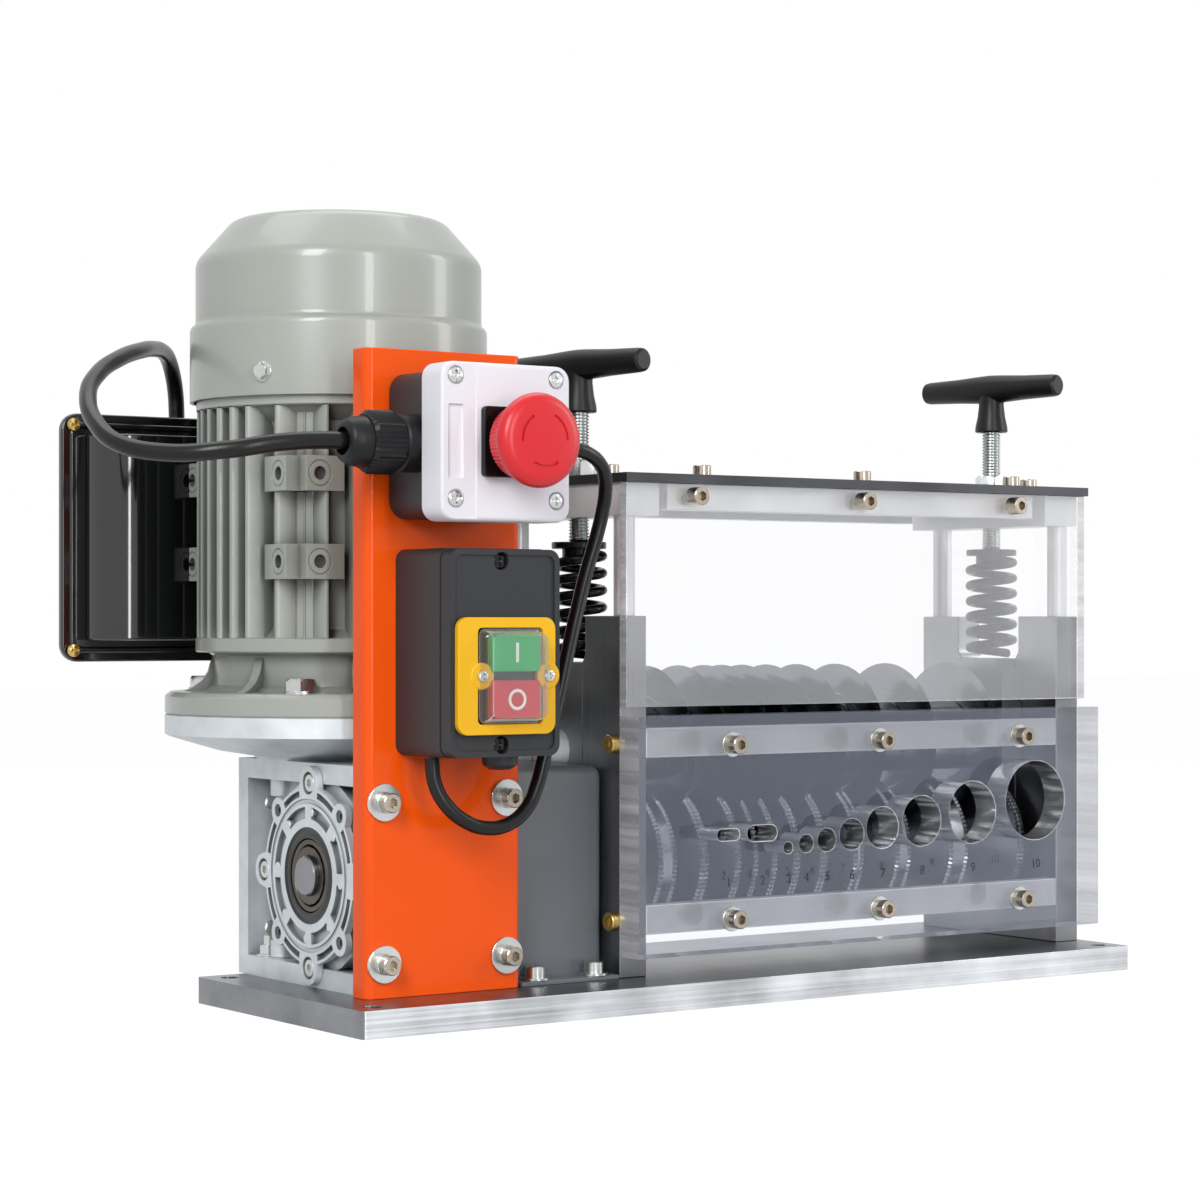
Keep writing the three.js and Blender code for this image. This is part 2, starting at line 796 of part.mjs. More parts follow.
function motorRotor() {
  const wormFoot = baseThickness + wormBoreFloor + overrun;
  const core = shieldTop + rotorRise;
  const fan = motorTop + fanRise;
  const profile = [
    [0, wormFoot], [wormRadius, wormFoot], [wormRadius, wormFoot + wormLength],
    [motorShaftRadius, wormFoot + wormLength], [motorShaftRadius, core], [rotorRadius, core],
    [rotorRadius, core + rotorLength], [motorShaftRadius, core + rotorLength],
    [motorShaftRadius, fan], [fanRadius, fan], [fanRadius, fan + fanDiscThickness],
    [fanHubRadius, fan + fanDiscThickness], [fanHubRadius, fan + fanBladeHeight],
    [0, fan + fanBladeHeight],
  ];
  const blades = [];
  for (let i = 0; i < fanBladeCount; i += 1) {
    const [inner, outer] = [fanHubRadius - overrun, fanRadius - overrun];
    const [low, high] = [fan + fanDiscThickness / 2, fan + fanBladeHeight];
    const angle = (2 * i * Math.PI) / fanBladeCount;
    blades.push(radialBlock(inner, outer, fanBladeThickness, low, high, angle));
  }
  return join([turned(profile, 'z', [gearX, motorY, 0], mediumSides), ...blades]);
}

// The outline of the tub in the capacitor cover, seen from above
function tubOutline(inset) {
  const left = boxLeft + boxRim + inset;
  const front = boxFlangeFront - tubDepth + inset;
  const back = boxFlangeFront + boxFlangeThickness + (inset > 0 ? overrun : 0);
  const flat = boxLeft + boxWidth * tubFlatShare - inset;
  const shape = new THREE.Shape();
  shape.moveTo(left, back);
  shape.lineTo(left, boxFlangeFront);
  shape.quadraticCurveTo(left, front, left + tubDepth, front);
  shape.lineTo(flat, front);
  shape.lineTo(pedestalLeft - boxCorner - inset, boxFlangeFront);
  shape.lineTo(pedestalLeft - boxCorner - inset, back);
  return shape;
}

function capacitorCover() {
  const plate = roundedRectangle(boxLeft, boxBottom, boxWidth, boxHeight, boxCorner);
  const [low, high] = [boxBottom + boxRim, boxBottom + boxHeight - boxRim];
  const flange = slab(plate, boxFlangeThickness, 'xz', boxFlangeFront);
  const tub = slab(tubOutline(0), high - low, 'xy', low);
  const inside = slab(tubOutline(boxWall), high - low - 2 * boxWall, 'xy', low + boxWall);
  return cut(join([flange, tub]), [inside]);
}

function capacitorBase() {
  const front = boxFlangeFront + boxFlangeThickness;
  const [left, bottom] = [boxLeft + shellSideInset, boxBottom + shellInset];
  const [width, height] = [boxWidth - 2 * shellSideInset, boxHeight - 2 * shellInset];
  const shape = roundedRectangle(left, bottom, width, height, boxCorner);
  const space = roundedRectangle(
    left + boxWall, bottom + boxWall, width - 2 * boxWall, height - 2 * boxWall, boxCorner - boxWall,
  );
  const shell = slab(shape, shellDepth, 'xz', front);
  return cut(shell, [slab(space, shellDepth - boxWall + overrun, 'xz', front - overrun)]);
}

function stopBoxBase() {
  const front = lidFront + lidThickness;
  const shape = roundedRectangle(stopBoxLeft, stopBoxBottom, stopBoxWidth, stopBoxHeight, stopBoxCorner);
  const space = roundedRectangle(
    stopBoxLeft + stopBoxWall, stopBoxBottom + stopBoxWall,
    stopBoxWidth - 2 * stopBoxWall, stopBoxHeight - 2 * stopBoxWall, stopBoxCorner - stopBoxWall,
  );
  const shell = slab(shape, stopBoxDepth, 'xz', front);
  return cut(shell, [slab(space, stopBoxDepth - stopBoxWall + overrun, 'xz', front - overrun)]);
}

function stopBoxLid() {
  const shape = roundedRectangle(lidLeft, lidBottom, lidWidth, lidHeight, lidCorner);
  const lid = slab(shape, lidThickness, 'xz', lidFront);
  const step = block(
    lidLeft - overrun, lidLeft + lidStepWidth, lidFront - overrun, lidFront + lidStepDepth,
    lidBottom - overrun, lidBottom + lidHeight + overrun,
  );
  const at = [stopAxisX, 0, stopAxisZ];
  const bore = stemRadius + fitGap;
  const back = lidFront + lidThickness + overrun;
  const space = roundedRectangle(
    lidLeft + lidWall, lidBottom + lidWall,
    lidWidth - 2 * lidWall, lidHeight - 2 * lidWall, lidCorner - lidWall,
  );
  const hollow = slab(space, lidThickness - lidWall + overrun, 'xz', lidFront + lidWall);
  return cut(lid, [step, hollow, rod(bore, lidFront - overrun, back, 'y', at, mediumSides)]);
}

function stopCollar() {
  const corner = collarCorner;
  const half = collarSize / 2;
  const shape = roundedRectangle(stopAxisX - half, stopAxisZ - half, collarSize, collarSize, corner);
  const front = lidFront - collarThickness;
  const at = [stopAxisX, 0, stopAxisZ];
  const bore = rod(stemRadius + fitGap, front - overrun, lidFront + overrun, 'y', at, mediumSides);
  return cut(slab(shape, collarThickness, 'xz', front), [bore]);
}

// The mushroom's back edge stands its travel and a gap in front of the collar
const mushroomBack = lidFront - collarThickness - mushroomTravel - fitGap;

function stopStem() {
  const front = mushroomBack - mushroomSeat;
  const at = [stopAxisX, 0, stopAxisZ];
  return rod(stemRadius, front, lidFront + lidThickness + stemInside, 'y', at, mediumSides);
}

function stopMushroom() {
  const neck = mushroomBack - mushroomSkirtDepth;
  const face = neck - mushroomDepth;
  const crown = mushroomShares.map(
    ([across, deep]) => [mushroomRadius * across, face + mushroomDepth * deep],
  );
  const profile = [
    [0, face], ...crown,
    [mushroomSkirtRadius, neck], [mushroomSkirtRadius, mushroomBack], [0, mushroomBack],
  ];
  const at = [stopAxisX, 0, stopAxisZ];
  const pocket = rod(
    stemRadius + fitGap, mushroomBack - mushroomSeat - fitGap, mushroomBack + overrun,
    'y', at, mediumSides,
  );
  return cut(turned(profile, 'y', at, roundSides), [pocket]);
}

// A cable gland that points along -X (direction -1) or +X (direction 1)
function gland(x, y, z, direction, scale) {
  const at = [x, y, z];
  const spans = [0, glandCollarLength, glandNutLength, glandDomeLength].map((s) => s * scale);
  const collarEnd = direction * spans[1];
  const nutEnd = direction * (spans[1] + spans[2]);
  const domeEnd = direction * (spans[1] + spans[2] + spans[3]);
  const nutRadius = (glandNutAcross * scale) / 2 / Math.cos(Math.PI / hexSides);
  const body = turned([
    [0, 0], [glandCollarRadius * scale, 0], [glandCollarRadius * scale, collarEnd], [0, collarEnd],
  ], 'x', at, mediumSides);
  const nut = rod(nutRadius, collarEnd - direction * fitGap, nutEnd, 'x', at, hexSides);
  const domeFoot = nutEnd - direction * fitGap;
  const dome = turned([
    [0, domeFoot], [glandDomeRadius * scale, domeFoot],
    [glandDomeRadius * scale, nutEnd + (domeEnd - nutEnd) / 2],
    [glandMouthRadius * scale, domeEnd], [0, domeEnd],
  ], 'x', at, mediumSides);
  return join([body, nut, dome]);
}

const glandY = bracketFront - glandStandoff;
const glandReach = glandCollarLength + glandNutLength + glandDomeLength;
const controlGlandShare = 0.62;

function motorGland() {
  const mouth = stopBoxLeft - glandReach;
  const at = [0, glandY, stopAxisZ];
  const bore = rod(
    motorCableRadius + fitGap, mouth - overrun, mouth + glandBoreDepth, 'x', at, smallSides,
  );
  return cut(gland(stopBoxLeft, glandY, stopAxisZ, -1, 1), [bore]);
}

// The lead from the stop box round the motor to the capacitor box, by hand
const motorCableEnd = boxBottom + boxHeight - shellInset + fitGap;
const motorCableRoute = [
  [0.4, 8, 251], [-14, 8, 251], [-34, 9, 249.5], [-56, 16, 246], [-74, 34, 245],
  [-86, 54, 249.5], [-88, 72, 259], [-82, 92, 272], [-68, 112, 283], [-47, 134, 292.5],
  [-24.5, 157.3, 299], [-11, 173, 301.5], [0.2, 186, 302], [7.2, 194.2, 299.9],
  [13.2, 201.3, 293.9], [17.4, 206.1, 284.8], [18.9, 207.9, 275.5],
  [19, 208, motorCableEnd],
];

// The lead from the stop box down past the switch box and up into it, by hand
const controlCableRoute = [
  [109.9, 8, 251], [112.5, 8, 251], [116.7, 8.2, 250.7], [120.7, 8.7, 249.7],
  [127.9, 10.8, 246.1], [133.3, 14, 240.6], [136.3, 17.8, 233.4], [136.9, 20.8, 225], [134.5, 22.4, 213],
  [128.7, 22, 197], [122.5, 20.2, 180], [115.9, 17.6, 162], [109.4, 14.8, 144],
  [103.5, 12.6, 128], [98.4, 11.4, 114], [94.4, 10.6, 102.9], [88.2, 9.4, 93.3],
  [78.6, 8.6, 87.1], [67.2, 8.6, 85.6], [56.3, 9.6, 89.1], [47.8, 11.8, 96.8],
  [43.8, 13.8, 105.6], [43, 15, 116.6],
];

function switchBox() {
  const shape = roundedRectangle(switchLeft, switchBottom, switchWidth, switchHeight, switchCorner);
  const shell = slab(shape, switchDepth, 'xz', switchFront);
  const space = block(
    switchLeft + switchWall, switchLeft + switchWidth - switchWall,
    switchFront + switchWall, bracketFront + overrun,
    switchBottom + switchWall, switchBottom + switchHeight - switchWall,
  );
  const middle = windowBottom + windowHeight / 2;
  const reach = buttonSpacing / 2 + buttonHeight + fitGap;
  const [left, right] = [buttonLeft() - fitGap, buttonLeft() + buttonWidth + fitGap];
  const opening = block(
    left, right, switchFront - overrun, switchFront + switchWall + overrun,
    middle - reach, middle + reach,
  );
  return cut(join([shell, switchPlug()]), [space, opening]);
}

function buttonLeft() {
  return windowLeft + buttonInset;
}

function switchFrame() {
  const front = switchFront - frameThickness;
  const shape = roundedRectangle(frameLeft, frameBottom, frameWidth, frameHeight, frameCorner);
  const plate = slab(shape, frameThickness, 'xz', front);
  const window = block(
    windowLeft, windowLeft + windowWidth, front - overrun, switchFront + overrun,
    windowBottom, windowBottom + windowHeight,
  );
  return join([cut(plate, [window]), ...frameEars(earRadius, front, switchFront)]);
}

// The two screw ears of the frame, at mid height
function frameEars(radius, from, to) {
  const middle = windowBottom + windowHeight / 2;
  const left = windowLeft + earInset;
  return [left, left + earSpacing].map(
    (x) => rod(radius, from, to, 'y', [x, 0, middle], smallSides),
  );
}

function switchBoot() {
  const front = switchFront - bootDepth;
  const shape = roundedRectangle(
    windowLeft + fitGap, windowBottom + fitGap,
    windowWidth - 2 * fitGap, windowHeight - 2 * fitGap, frameCorner,
  );
  const space = roundedRectangle(
    windowLeft + fitGap + bootWall, windowBottom + fitGap + bootWall,
    windowWidth - 2 * (fitGap + bootWall), windowHeight - 2 * (fitGap + bootWall),
    frameCorner - bootWall,
  );
  const shell = slab(shape, bootDepth, 'xz', front);
  const hollow = slab(space, bootDepth, 'xz', front + bootWall);
  const back = switchFront + overrun;
  const ears = frameEars(earRadius + fitGap, switchFront - frameThickness - fitGap, back);
  return cut(shell, [hollow, ...ears]);
}

// A rocker-less push button; place 0 is the lower one
function pushButton(place) {
  const middle = windowBottom + windowHeight / 2;
  const low = middle - buttonSpacing / 2 - buttonHeight + place * (buttonHeight + buttonSpacing);
  return block(
    buttonLeft(), buttonLeft() + buttonWidth,
    switchFront - buttonProud, switchFront + buttonInside,
    low, low + buttonHeight,
  );
}

// The blanking plug moulded into the underside of the switch box
function switchPlug() {
  const at = [
    switchLeft + switchWidth * plugAcrossShare, bracketFront - switchDepth * plugBackShare, 0,
  ];
  const low = switchBottom - plugHeight;
  const crown = plugShares.map(
    ([across, deep]) => [plugRadius * across, low + plugHeight * deep],
  );
  const profile = [
    [0, low], ...crown, [plugRadius, switchBottom + fitGap], [0, switchBottom + fitGap],
  ];
  return turned(profile, 'z', at, mediumSides);
}

function hood() {
  const left = bracketLeft + bracketWidth + 2 * fitGap;
  const right = leftPlateX - fitGap;
  const top = baseThickness + hoodHeight;
  const back = hoodFront + hoodDepth;
  const whole = block(left, right, hoodFront, back, baseThickness, top);
  const inside = block(
    left - overrun, right + overrun, hoodFront + hoodSheet, back - hoodSheet,
    baseThickness - overrun, top - hoodSheet,
  );
  const foot = block(
    left, right, hoodFront - hoodFoot, hoodFront + hoodSheet,
    baseThickness, baseThickness + hoodSheet,
  );
  return join([cut(whole, [inside]), foot]);
}

function sidePlate(x) {
  const whole = block(
    x, x + plateThickness, plateFront, plateFront + plateDepth, baseThickness, plateTop,
  );
  const upperSlot = roundedRectangle(
    axisY - slotWidth / 2, slotFloor,
    slotWidth, plateTop - slotFloor + slotCorner + overrun, slotCorner,
  );
  const lowerSlot = block(
    x - overrun, x + plateThickness + overrun, axisY - guideWidth / 2, axisY + guideWidth / 2,
    guideFloor, slotFloor + overrun,
  );
  const at = [0, axisY, axisZ];
  return cut(whole, [
    slab(upperSlot, plateThickness + 2 * overrun, 'yz', x - overrun),
    lowerSlot,
    rod(shaftHoleRadius, x - overrun, x + plateThickness + overrun, 'x', at, mediumSides),
  ]);
}

// A bearing block slides in the slot of a side plate; `inner` is the plate's inner face
function bearingBlock(plateX, inward) {
  const outer = inward > 0 ? plateX : plateX + plateThickness;
  const face = inward > 0 ? plateX + plateThickness : plateX;
  const inner = face + inward * blockInside;
  const half = guideWidth / 2 - fitGap;
  const [s0, s1] = [Math.min(outer, face), Math.max(outer, face)];
  const slider = block(s0, s1, axisY - half, axisY + half, guideFloor + fitGap, slotFloor);
  const [x0, x1] = [Math.min(outer, inner), Math.max(outer, inner)];
  const innerFloor = axisZ + rollerRadius + blockRollerGap;
  const body = block(x0, x1, axisY - half, axisY + half, innerFloor, slotFloor);
  const lipStart = face + inward * fitGap;
  const [l0, l1] = [Math.min(lipStart, inner), Math.max(lipStart, inner)];
  const lipHalf = half + slotCorner;
  const lip = block(
    l0, l1, axisY - lipHalf, axisY + lipHalf, innerFloor, slotFloor - slotCorner,
  );
  const at = [0, axisY, bladeAxisZ];
  const bore = rod(shaftRadius + fitGap, x0 - overrun, x1 + overrun, 'x', at, mediumSides);
  return cut(join([slider, body, lip]), [bore]);
}

function feedRoller() {
  const shaftStart = gearX - outputShaftLength / 2;
  const shaftStep = gearX + hollowShaftLength / 2 + overrun;
  const shaftEnd = rightPlateX + plateThickness - blindGap;
  const profile = [
    [0, shaftStart], [outputShaftRadius, shaftStart], [outputShaftRadius, shaftStep],
    [shaftRadius, shaftStep], [shaftRadius, rollerLeft], [rollerRadius, rollerLeft],
  ];
  channelPlaces.forEach((x, i) => {
    const [mouth, floor] = [grooveWidths[i] / 2, grooveFloorWidth / 2];
    profile.push([rollerRadius, x - mouth], [grooveFloorRadius, x - floor]);
    profile.push([grooveFloorRadius, x + floor], [rollerRadius, x + mouth]);
  });
  profile.push([rollerRadius, rollerRight], [shaftRadius, rollerRight]);
  profile.push([shaftRadius, shaftEnd], [0, shaftEnd]);
  return turned(profile, 'x', [0, axisY, axisZ], mediumSides);
}

function bladeShaft() {
  const [start, end] = [leftPlateX + blindGap, rightPlateX + plateThickness - blindGap];
  const half = bladeThickness / 2 + fitGap;
  const [first, last] = [leftPlateX + plateThickness + blockInside, rightPlateX - blockInside];
  const profile = [[0, start], [shaftRadius, start], [shaftRadius, first + fitGap]];
  profile.push([spacerRadius, first + fitGap]);
  for (const x of channelPlaces) {
    profile.push([spacerRadius, x - half], [shaftRadius, x - half]);
    profile.push([shaftRadius, x + half], [spacerRadius, x + half]);
  }
  profile.push([spacerRadius, last - fitGap], [shaftRadius, last - fitGap]);
  profile.push([shaftRadius, end], [0, end]);
  return turned(profile, 'x', [0, axisY, bladeAxisZ], smallSides);
}

function blade(x) {
  const half = bladeThickness / 2;
  const bore = shaftRadius + fitGap;
  const bevelFoot = bladeRadius - bladeBevel;
  const profile = [
    [bore, -half], [bevelFoot, -half], [bladeRadius, 0], [bevelFoot, half], [bore, half],
    [bore, -half],
  ];
  return turned(profile, 'x', [x, axisY, bladeAxisZ], mediumSides);
}

// The centre line of a press spring: a straight end, the turns, and a straight end
function springLine(x) {
  const middleRadius = springRadius - springWire / 2;
  const low = slotFloor + fitGap;
  const high = pressCollarZ - fitGap;
  const [first, last] = [low + springWire, high - springWire];
  const points = [new THREE.Vector3(x + middleRadius, axisY, low)];
  for (let i = 0; i <= springTurns * springSteps; i += 1) {
    const angle = (2 * Math.PI * i) / springSteps;
    const z = first + ((last - first) * i) / (springTurns * springSteps);
    points.push(new THREE.Vector3(
      x + middleRadius * Math.cos(angle), axisY + middleRadius * Math.sin(angle), z,
    ));
  }
  points.push(new THREE.Vector3(x + middleRadius, axisY, high));
  return points;
}

// The least gap between turns, measured between points over half a turn apart
function leastSpringGap(points) {
  const halfTurn = springSteps / 2;
  let least = Infinity;
  points.forEach((point, i) => {
    for (let k = i + halfTurn + 1; k < points.length; k += 1) {
      least = Math.min(least, point.distanceTo(points[k]) - springWire);
    }
  });
  return least;
}

function pressCollar(x) {
  const foot = pressCollarZ - pressBossHeight;
  const top = pressCollarZ + pressCollarThickness;
  const profile = [
    [0, foot], [pressBossRadius, foot], [pressBossRadius, pressCollarZ],
    [pressCollarRadius, pressCollarZ], [pressCollarRadius, top], [0, top],
  ];
  return turned(profile, 'z', [x, axisY, 0], mediumSides);
}

function pressScrew(x) {
  return rod(screwRadius, screwBottom, screwBottom + screwLength, 'z', [x, axisY, 0], smallSides);
}

function pressHandle(x) {
  const at = [x, axisY, 0];
  const top = handleBottom + handleHubHeight;
  const hub = turned([
    [0, handleBottom], [handleHubRadius, handleBottom], [handleHubTopRadius, top], [0, top],
  ], 'z', at, mediumSides);
  const half = handleBarLength / 2;
  const bar = new THREE.LatheGeometry([
    new THREE.Vector2(0, -half), new THREE.Vector2(handleEndRadius, -half),
    new THREE.Vector2(handleBarRadius, 0), new THREE.Vector2(handleEndRadius, half),
    new THREE.Vector2(0, half),
  ], mediumSides);
  bar.rotateZ(-Math.PI / 2 + THREE.MathUtils.degToRad(handleAngle));
  bar.translate(x, axisY, handleBottom + handleBarZ);
  const bore = screwRadius + fitGap;
  const floor = handleBottom + handlePocket + fitGap;
  const pocket = rod(bore, handleBottom - overrun, floor, 'z', at, smallSides);
  return cut(join([hub, solid(bar)]), [pocket]);
}

// A cross bridge on its two pillars
function bridge(plateX, left, springX) {
  const back = plateFront + plateDepth;
  const beam = block(left, left + bridgeWidth, plateFront, back, bridgeBottom, bridgeTop);
  const middle = plateX + plateThickness / 2;
  const pillars = [plateFront + pillarInset, back - pillarInset].map(
    (y) => rod(pillarRadius, plateTop, bridgeBottom + overrun, 'z', [middle, y, 0], mediumSides),
  );
  return cut(join([beam, ...pillars]), [screwHole(springX)]);
}

function screwHole(x) {
  const radius = screwRadius + screwHoleGap;
  const top = bridgeTop + topPlateThickness + overrun;
  return rod(radius, bridgeBottom - overrun, top, 'z', [x, axisY, 0], smallSides);
}

function topPlate() {
  const left = leftPlateX - topPlateOverhang;
  const right = rightPlateX + plateThickness + topPlateOverhang;
  const plate = block(
    left, right, topPlateFront, topPlateBack, bridgeTop, bridgeTop + topPlateThickness,
  );
  return cut(plate, [screwHole(leftSpringX), screwHole(rightSpringX)]);
}

function lowerGuard() {
  const [left, right] = [leftPlateX, rightPlateX + plateThickness];
  const front = plateFront - lowerGuardThickness;
  const top = lowerGuardBottom + lowerGuardHeight;
  const plate = block(left, right, front, plateFront, lowerGuardBottom, top);
  const ends = [front - overrun, plateFront + overrun];
  const holes = channelPlaces.map((x, i) => {
    if (i < slotHoleSizes.length) {
      const [wide, high] = slotHoleSizes[i];
      const shape = roundedRectangle(
        x - wide / 2, slotHoleZ - high / 2, wide, high, high * slotEndShare,
      );
      return slab(shape, ends[1] - ends[0], 'xz', ends[0]);
    }
    const radius = roundHoleSizes[i - slotHoleSizes.length] / 2;
    return rod(radius, ends[0], ends[1], 'y', [x, 0, holeFloor + radius], mediumSides);
  });
  return cut(plate, holes);
}

// Base, bracket and drive
addPiece('base_plate', basePlate(), 'steel');
addPiece('bracket_plate', bracketPlate(), 'orangePaint');
addPiece('gearbox_housing', gearboxHousing(), 'castAluminium');
addPiece('output_cover', outputCover(), 'castAluminium');
addPiece('worm_wheel', wormWheel(), 'bronze');
addPiece('input_flange', inputFlange(), 'castAluminium');
addPiece('motor_end_shield', motorEndShield(), 'motorPaint');
addPiece('motor_frame', motorFrame(), 'motorPaint');
addPiece('motor_rotor', motorRotor(), 'steel');
addPiece('fan_cowl', fanCowl(), 'motorPaint');
addPiece('capacitor_cover', capacitorCover(), 'blackPaint');
addPiece('capacitor_base', capacitorBase(), 'blackPaint');

// Emergency stop
addPiece('stop_box_base', stopBoxBase(), 'greyPlastic');
addPiece('stop_box_lid', stopBoxLid(), 'palePlastic');
addPiece('stop_collar', stopCollar(), 'blackPlastic');
addPiece('stop_stem', stopStem(), 'blackPlastic');
addPiece('stop_mushroom', stopMushroom(), 'redPlastic');
addPiece('motor_cable_gland', motorGland(), 'blackPlastic');
addPiece('motor_cable', cord(motorCableRoute, motorCableRadius), 'blackPlastic');

// Switch
addPiece('switch_box', switchBox(), 'greyPlastic');
addPiece('switch_frame', switchFrame(), 'yellowPlastic');
addPiece('switch_boot', switchBoot(), 'clearPlastic');
addPiece('start_button', pushButton(1), 'greenPlastic');
addPiece('stop_button', pushButton(0), 'stopPlastic');
const stopBoxRight = stopBoxLeft + stopBoxWidth;
const controlGland = gland(stopBoxRight, glandY, stopAxisZ, 1, controlGlandShare);
addPiece('control_cable_gland', controlGland, 'blackPlastic');
addPiece('control_cable', cord(controlCableRoute, controlCableRadius), 'blackPlastic');

// Head
addPiece('drive_cover', hood(), 'greyPaint');
addPiece('left_side_plate', sidePlate(leftPlateX), 'steel');
addPiece('right_side_plate', sidePlate(rightPlateX), 'steel');
addPiece('feed_roller', feedRoller(), 'steel');
addPiece('left_bearing_block', bearingBlock(leftPlateX, 1), 'steel');
addPiece('right_bearing_block', bearingBlock(rightPlateX, -1), 'steel');
addPiece('blade_shaft', bladeShaft(), 'steel');
channelPlaces.forEach((x, i) => addPiece(`blade_${i + 1}`, blade(x), 'bladeSteel'));

const pressSides = [
  ['left', leftSpringX],
  ['right', rightSpringX],
];
for (const [side, x] of pressSides) {
  const line = springLine(x);
  console.log(`${side} spring: least gap to itself ${leastSpringGap(line).toFixed(2)} mm`);
  addPiece(`${side}_spring`, solid(windTube(line, springWire / 2)), 'springSteel');
  addPiece(`${side}_press_collar`, pressCollar(x), 'springSteel');
  addPiece(`${side}_screw`, pressScrew(x), 'zinc');
  addPiece(`${side}_handle`, pressHandle(x), 'blackPlastic');
}
const leftBridge = leftPlateX + bridgeInset;
const rightBridge = rightPlateX + plateThickness - bridgeInset - bridgeWidth;
addPiece('left_bridge', bridge(leftPlateX, leftBridge, leftSpringX), 'brushedAluminium');
addPiece('right_bridge', bridge(rightPlateX, rightBridge, rightSpringX), 'brushedAluminium');
addPiece('top_plate', topPlate(), 'steel');
const barFoot = bridgeTop - barHeight;
const plateBack = plateFront + plateDepth;
const frontBar = block(barLeft, barRight, plateFront, plateFront + barDepth, barFoot, bridgeTop);
const rearBar = block(barLeft, barRight, plateBack - barDepth, plateBack, barFoot, bridgeTop);
addPiece('front_guard_bar', frontBar, 'brushedAluminium');
addPiece('rear_guard_bar', rearBar, 'brushedAluminium');
const guardRight = rightPlateX + plateThickness;
const guardFront = plateFront - upperGuardThickness;
const upperGuard = block(leftPlateX, guardRight, guardFront, plateFront, upperGuardBottom, bridgeTop);
addPiece('upper_guard', upperGuard, 'acrylic');
addPiece('lower_guard', lowerGuard(), 'acrylic');
for (const [name, foot] of [['lower_tie_bar', lowerBarBottom], ['upper_tie_bar', upperBarBottom]]) {
  const [left, right] = [leftPlateX + plateThickness, rightPlateX];
  const bar = block(left, right, plateFront, plateFront + lowerBarDepth, foot, foot + lowerBarHeight);
  addPiece(name, bar, 'brushedAluminium');
}

const part = new THREE.Group();
part.add(machine);

export default part;
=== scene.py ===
# The looks of a bench wire stripping machine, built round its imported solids. Sizes are in
# millimetres, measured from the front left bottom corner of the base plate: x runs along
# the base, y to the back and z up. Each piece is turned to metres when it is finished.
import math

import bmesh
import bpy
from mathutils import Matrix, Vector


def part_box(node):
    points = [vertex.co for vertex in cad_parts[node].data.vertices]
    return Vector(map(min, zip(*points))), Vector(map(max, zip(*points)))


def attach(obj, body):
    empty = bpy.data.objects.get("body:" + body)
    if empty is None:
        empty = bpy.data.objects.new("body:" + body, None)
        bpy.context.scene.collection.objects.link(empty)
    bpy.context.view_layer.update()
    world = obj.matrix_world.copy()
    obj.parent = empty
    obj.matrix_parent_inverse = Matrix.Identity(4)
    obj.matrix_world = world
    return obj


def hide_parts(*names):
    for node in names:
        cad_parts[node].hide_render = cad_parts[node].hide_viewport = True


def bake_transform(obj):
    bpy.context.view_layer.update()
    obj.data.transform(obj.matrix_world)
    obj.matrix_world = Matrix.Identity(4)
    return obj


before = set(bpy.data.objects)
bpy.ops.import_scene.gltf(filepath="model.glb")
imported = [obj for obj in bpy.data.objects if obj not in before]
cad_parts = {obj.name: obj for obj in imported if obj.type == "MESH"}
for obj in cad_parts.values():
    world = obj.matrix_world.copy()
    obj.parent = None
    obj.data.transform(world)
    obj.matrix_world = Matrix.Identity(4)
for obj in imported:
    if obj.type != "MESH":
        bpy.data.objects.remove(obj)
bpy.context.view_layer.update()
base_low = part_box("base_plate")[0]
MM = 0.001


# Studio camera: level, at the photograph's viewing angle, with the horizon a little under
# the middle of the frame
camera_turn = math.radians(34.95)
camera_data = bpy.data.cameras.new("camera")
camera_data.lens = 89.94
camera_data.sensor_width = 36
camera_data.shift_y = 0.0179
camera = bpy.data.objects.new("camera", camera_data)
camera.location = (-0.8601, -1.1596, 0.1752)
camera.rotation_euler = (math.pi / 2, 0, -camera_turn)
bpy.context.scene.collection.objects.link(camera)
bpy.context.scene.camera = camera
bpy.context.scene.view_settings.view_transform = "Standard"


# White world: it shows as plain white to the camera, to metal and to clear plastic, and
# lights the object with a softer grey
def add_node(tree, kind, settings=None, **links):
    """Adds a shader node; settings fill its sockets or properties, links feed its sockets"""
    node = tree.nodes.new("ShaderNode" + kind)
    for key, value in (settings or {}).items():
        if key in node.inputs:
            node.inputs[key].default_value = value
        else:
            setattr(node, key, value)
    for key, source in links.items():
        tree.links.new(source, node.inputs[key.replace("_", " ")])
    return node


def linear(hex_colour):
    """An sRGB hex colour such as "F45A1E" as linear red, green, blue and alpha"""
    channels = [int(hex_colour[i:i + 2], 16) / 255 for i in (0, 2, 4)]
    return [c / 12.92 if c <= 0.04045 else ((c + 0.055) / 1.055) ** 2.4 for c in channels] + [1]


def seen_by(tree, first_ray, *other_rays):
    """One where any of the named kinds of ray arrives, and nought elsewhere"""
    path = add_node(tree, "LightPath")
    share = path.outputs[first_ray]
    for ray in other_rays:
        either = add_node(tree, "Math", {"operation": "MAXIMUM"})
        tree.links.new(share, either.inputs[0])
        tree.links.new(path.outputs[ray], either.inputs[1])
        share = either.outputs[0]
    return share


def mix_by(tree, share, first, second):
    """Mixes two shaders: the second takes the share, the first the rest"""
    mix = add_node(tree, "MixShader", Fac=share)
    tree.links.new(first.outputs[0], mix.inputs[1])
    tree.links.new(second.outputs[0], mix.inputs[2])
    return mix.outputs[0]


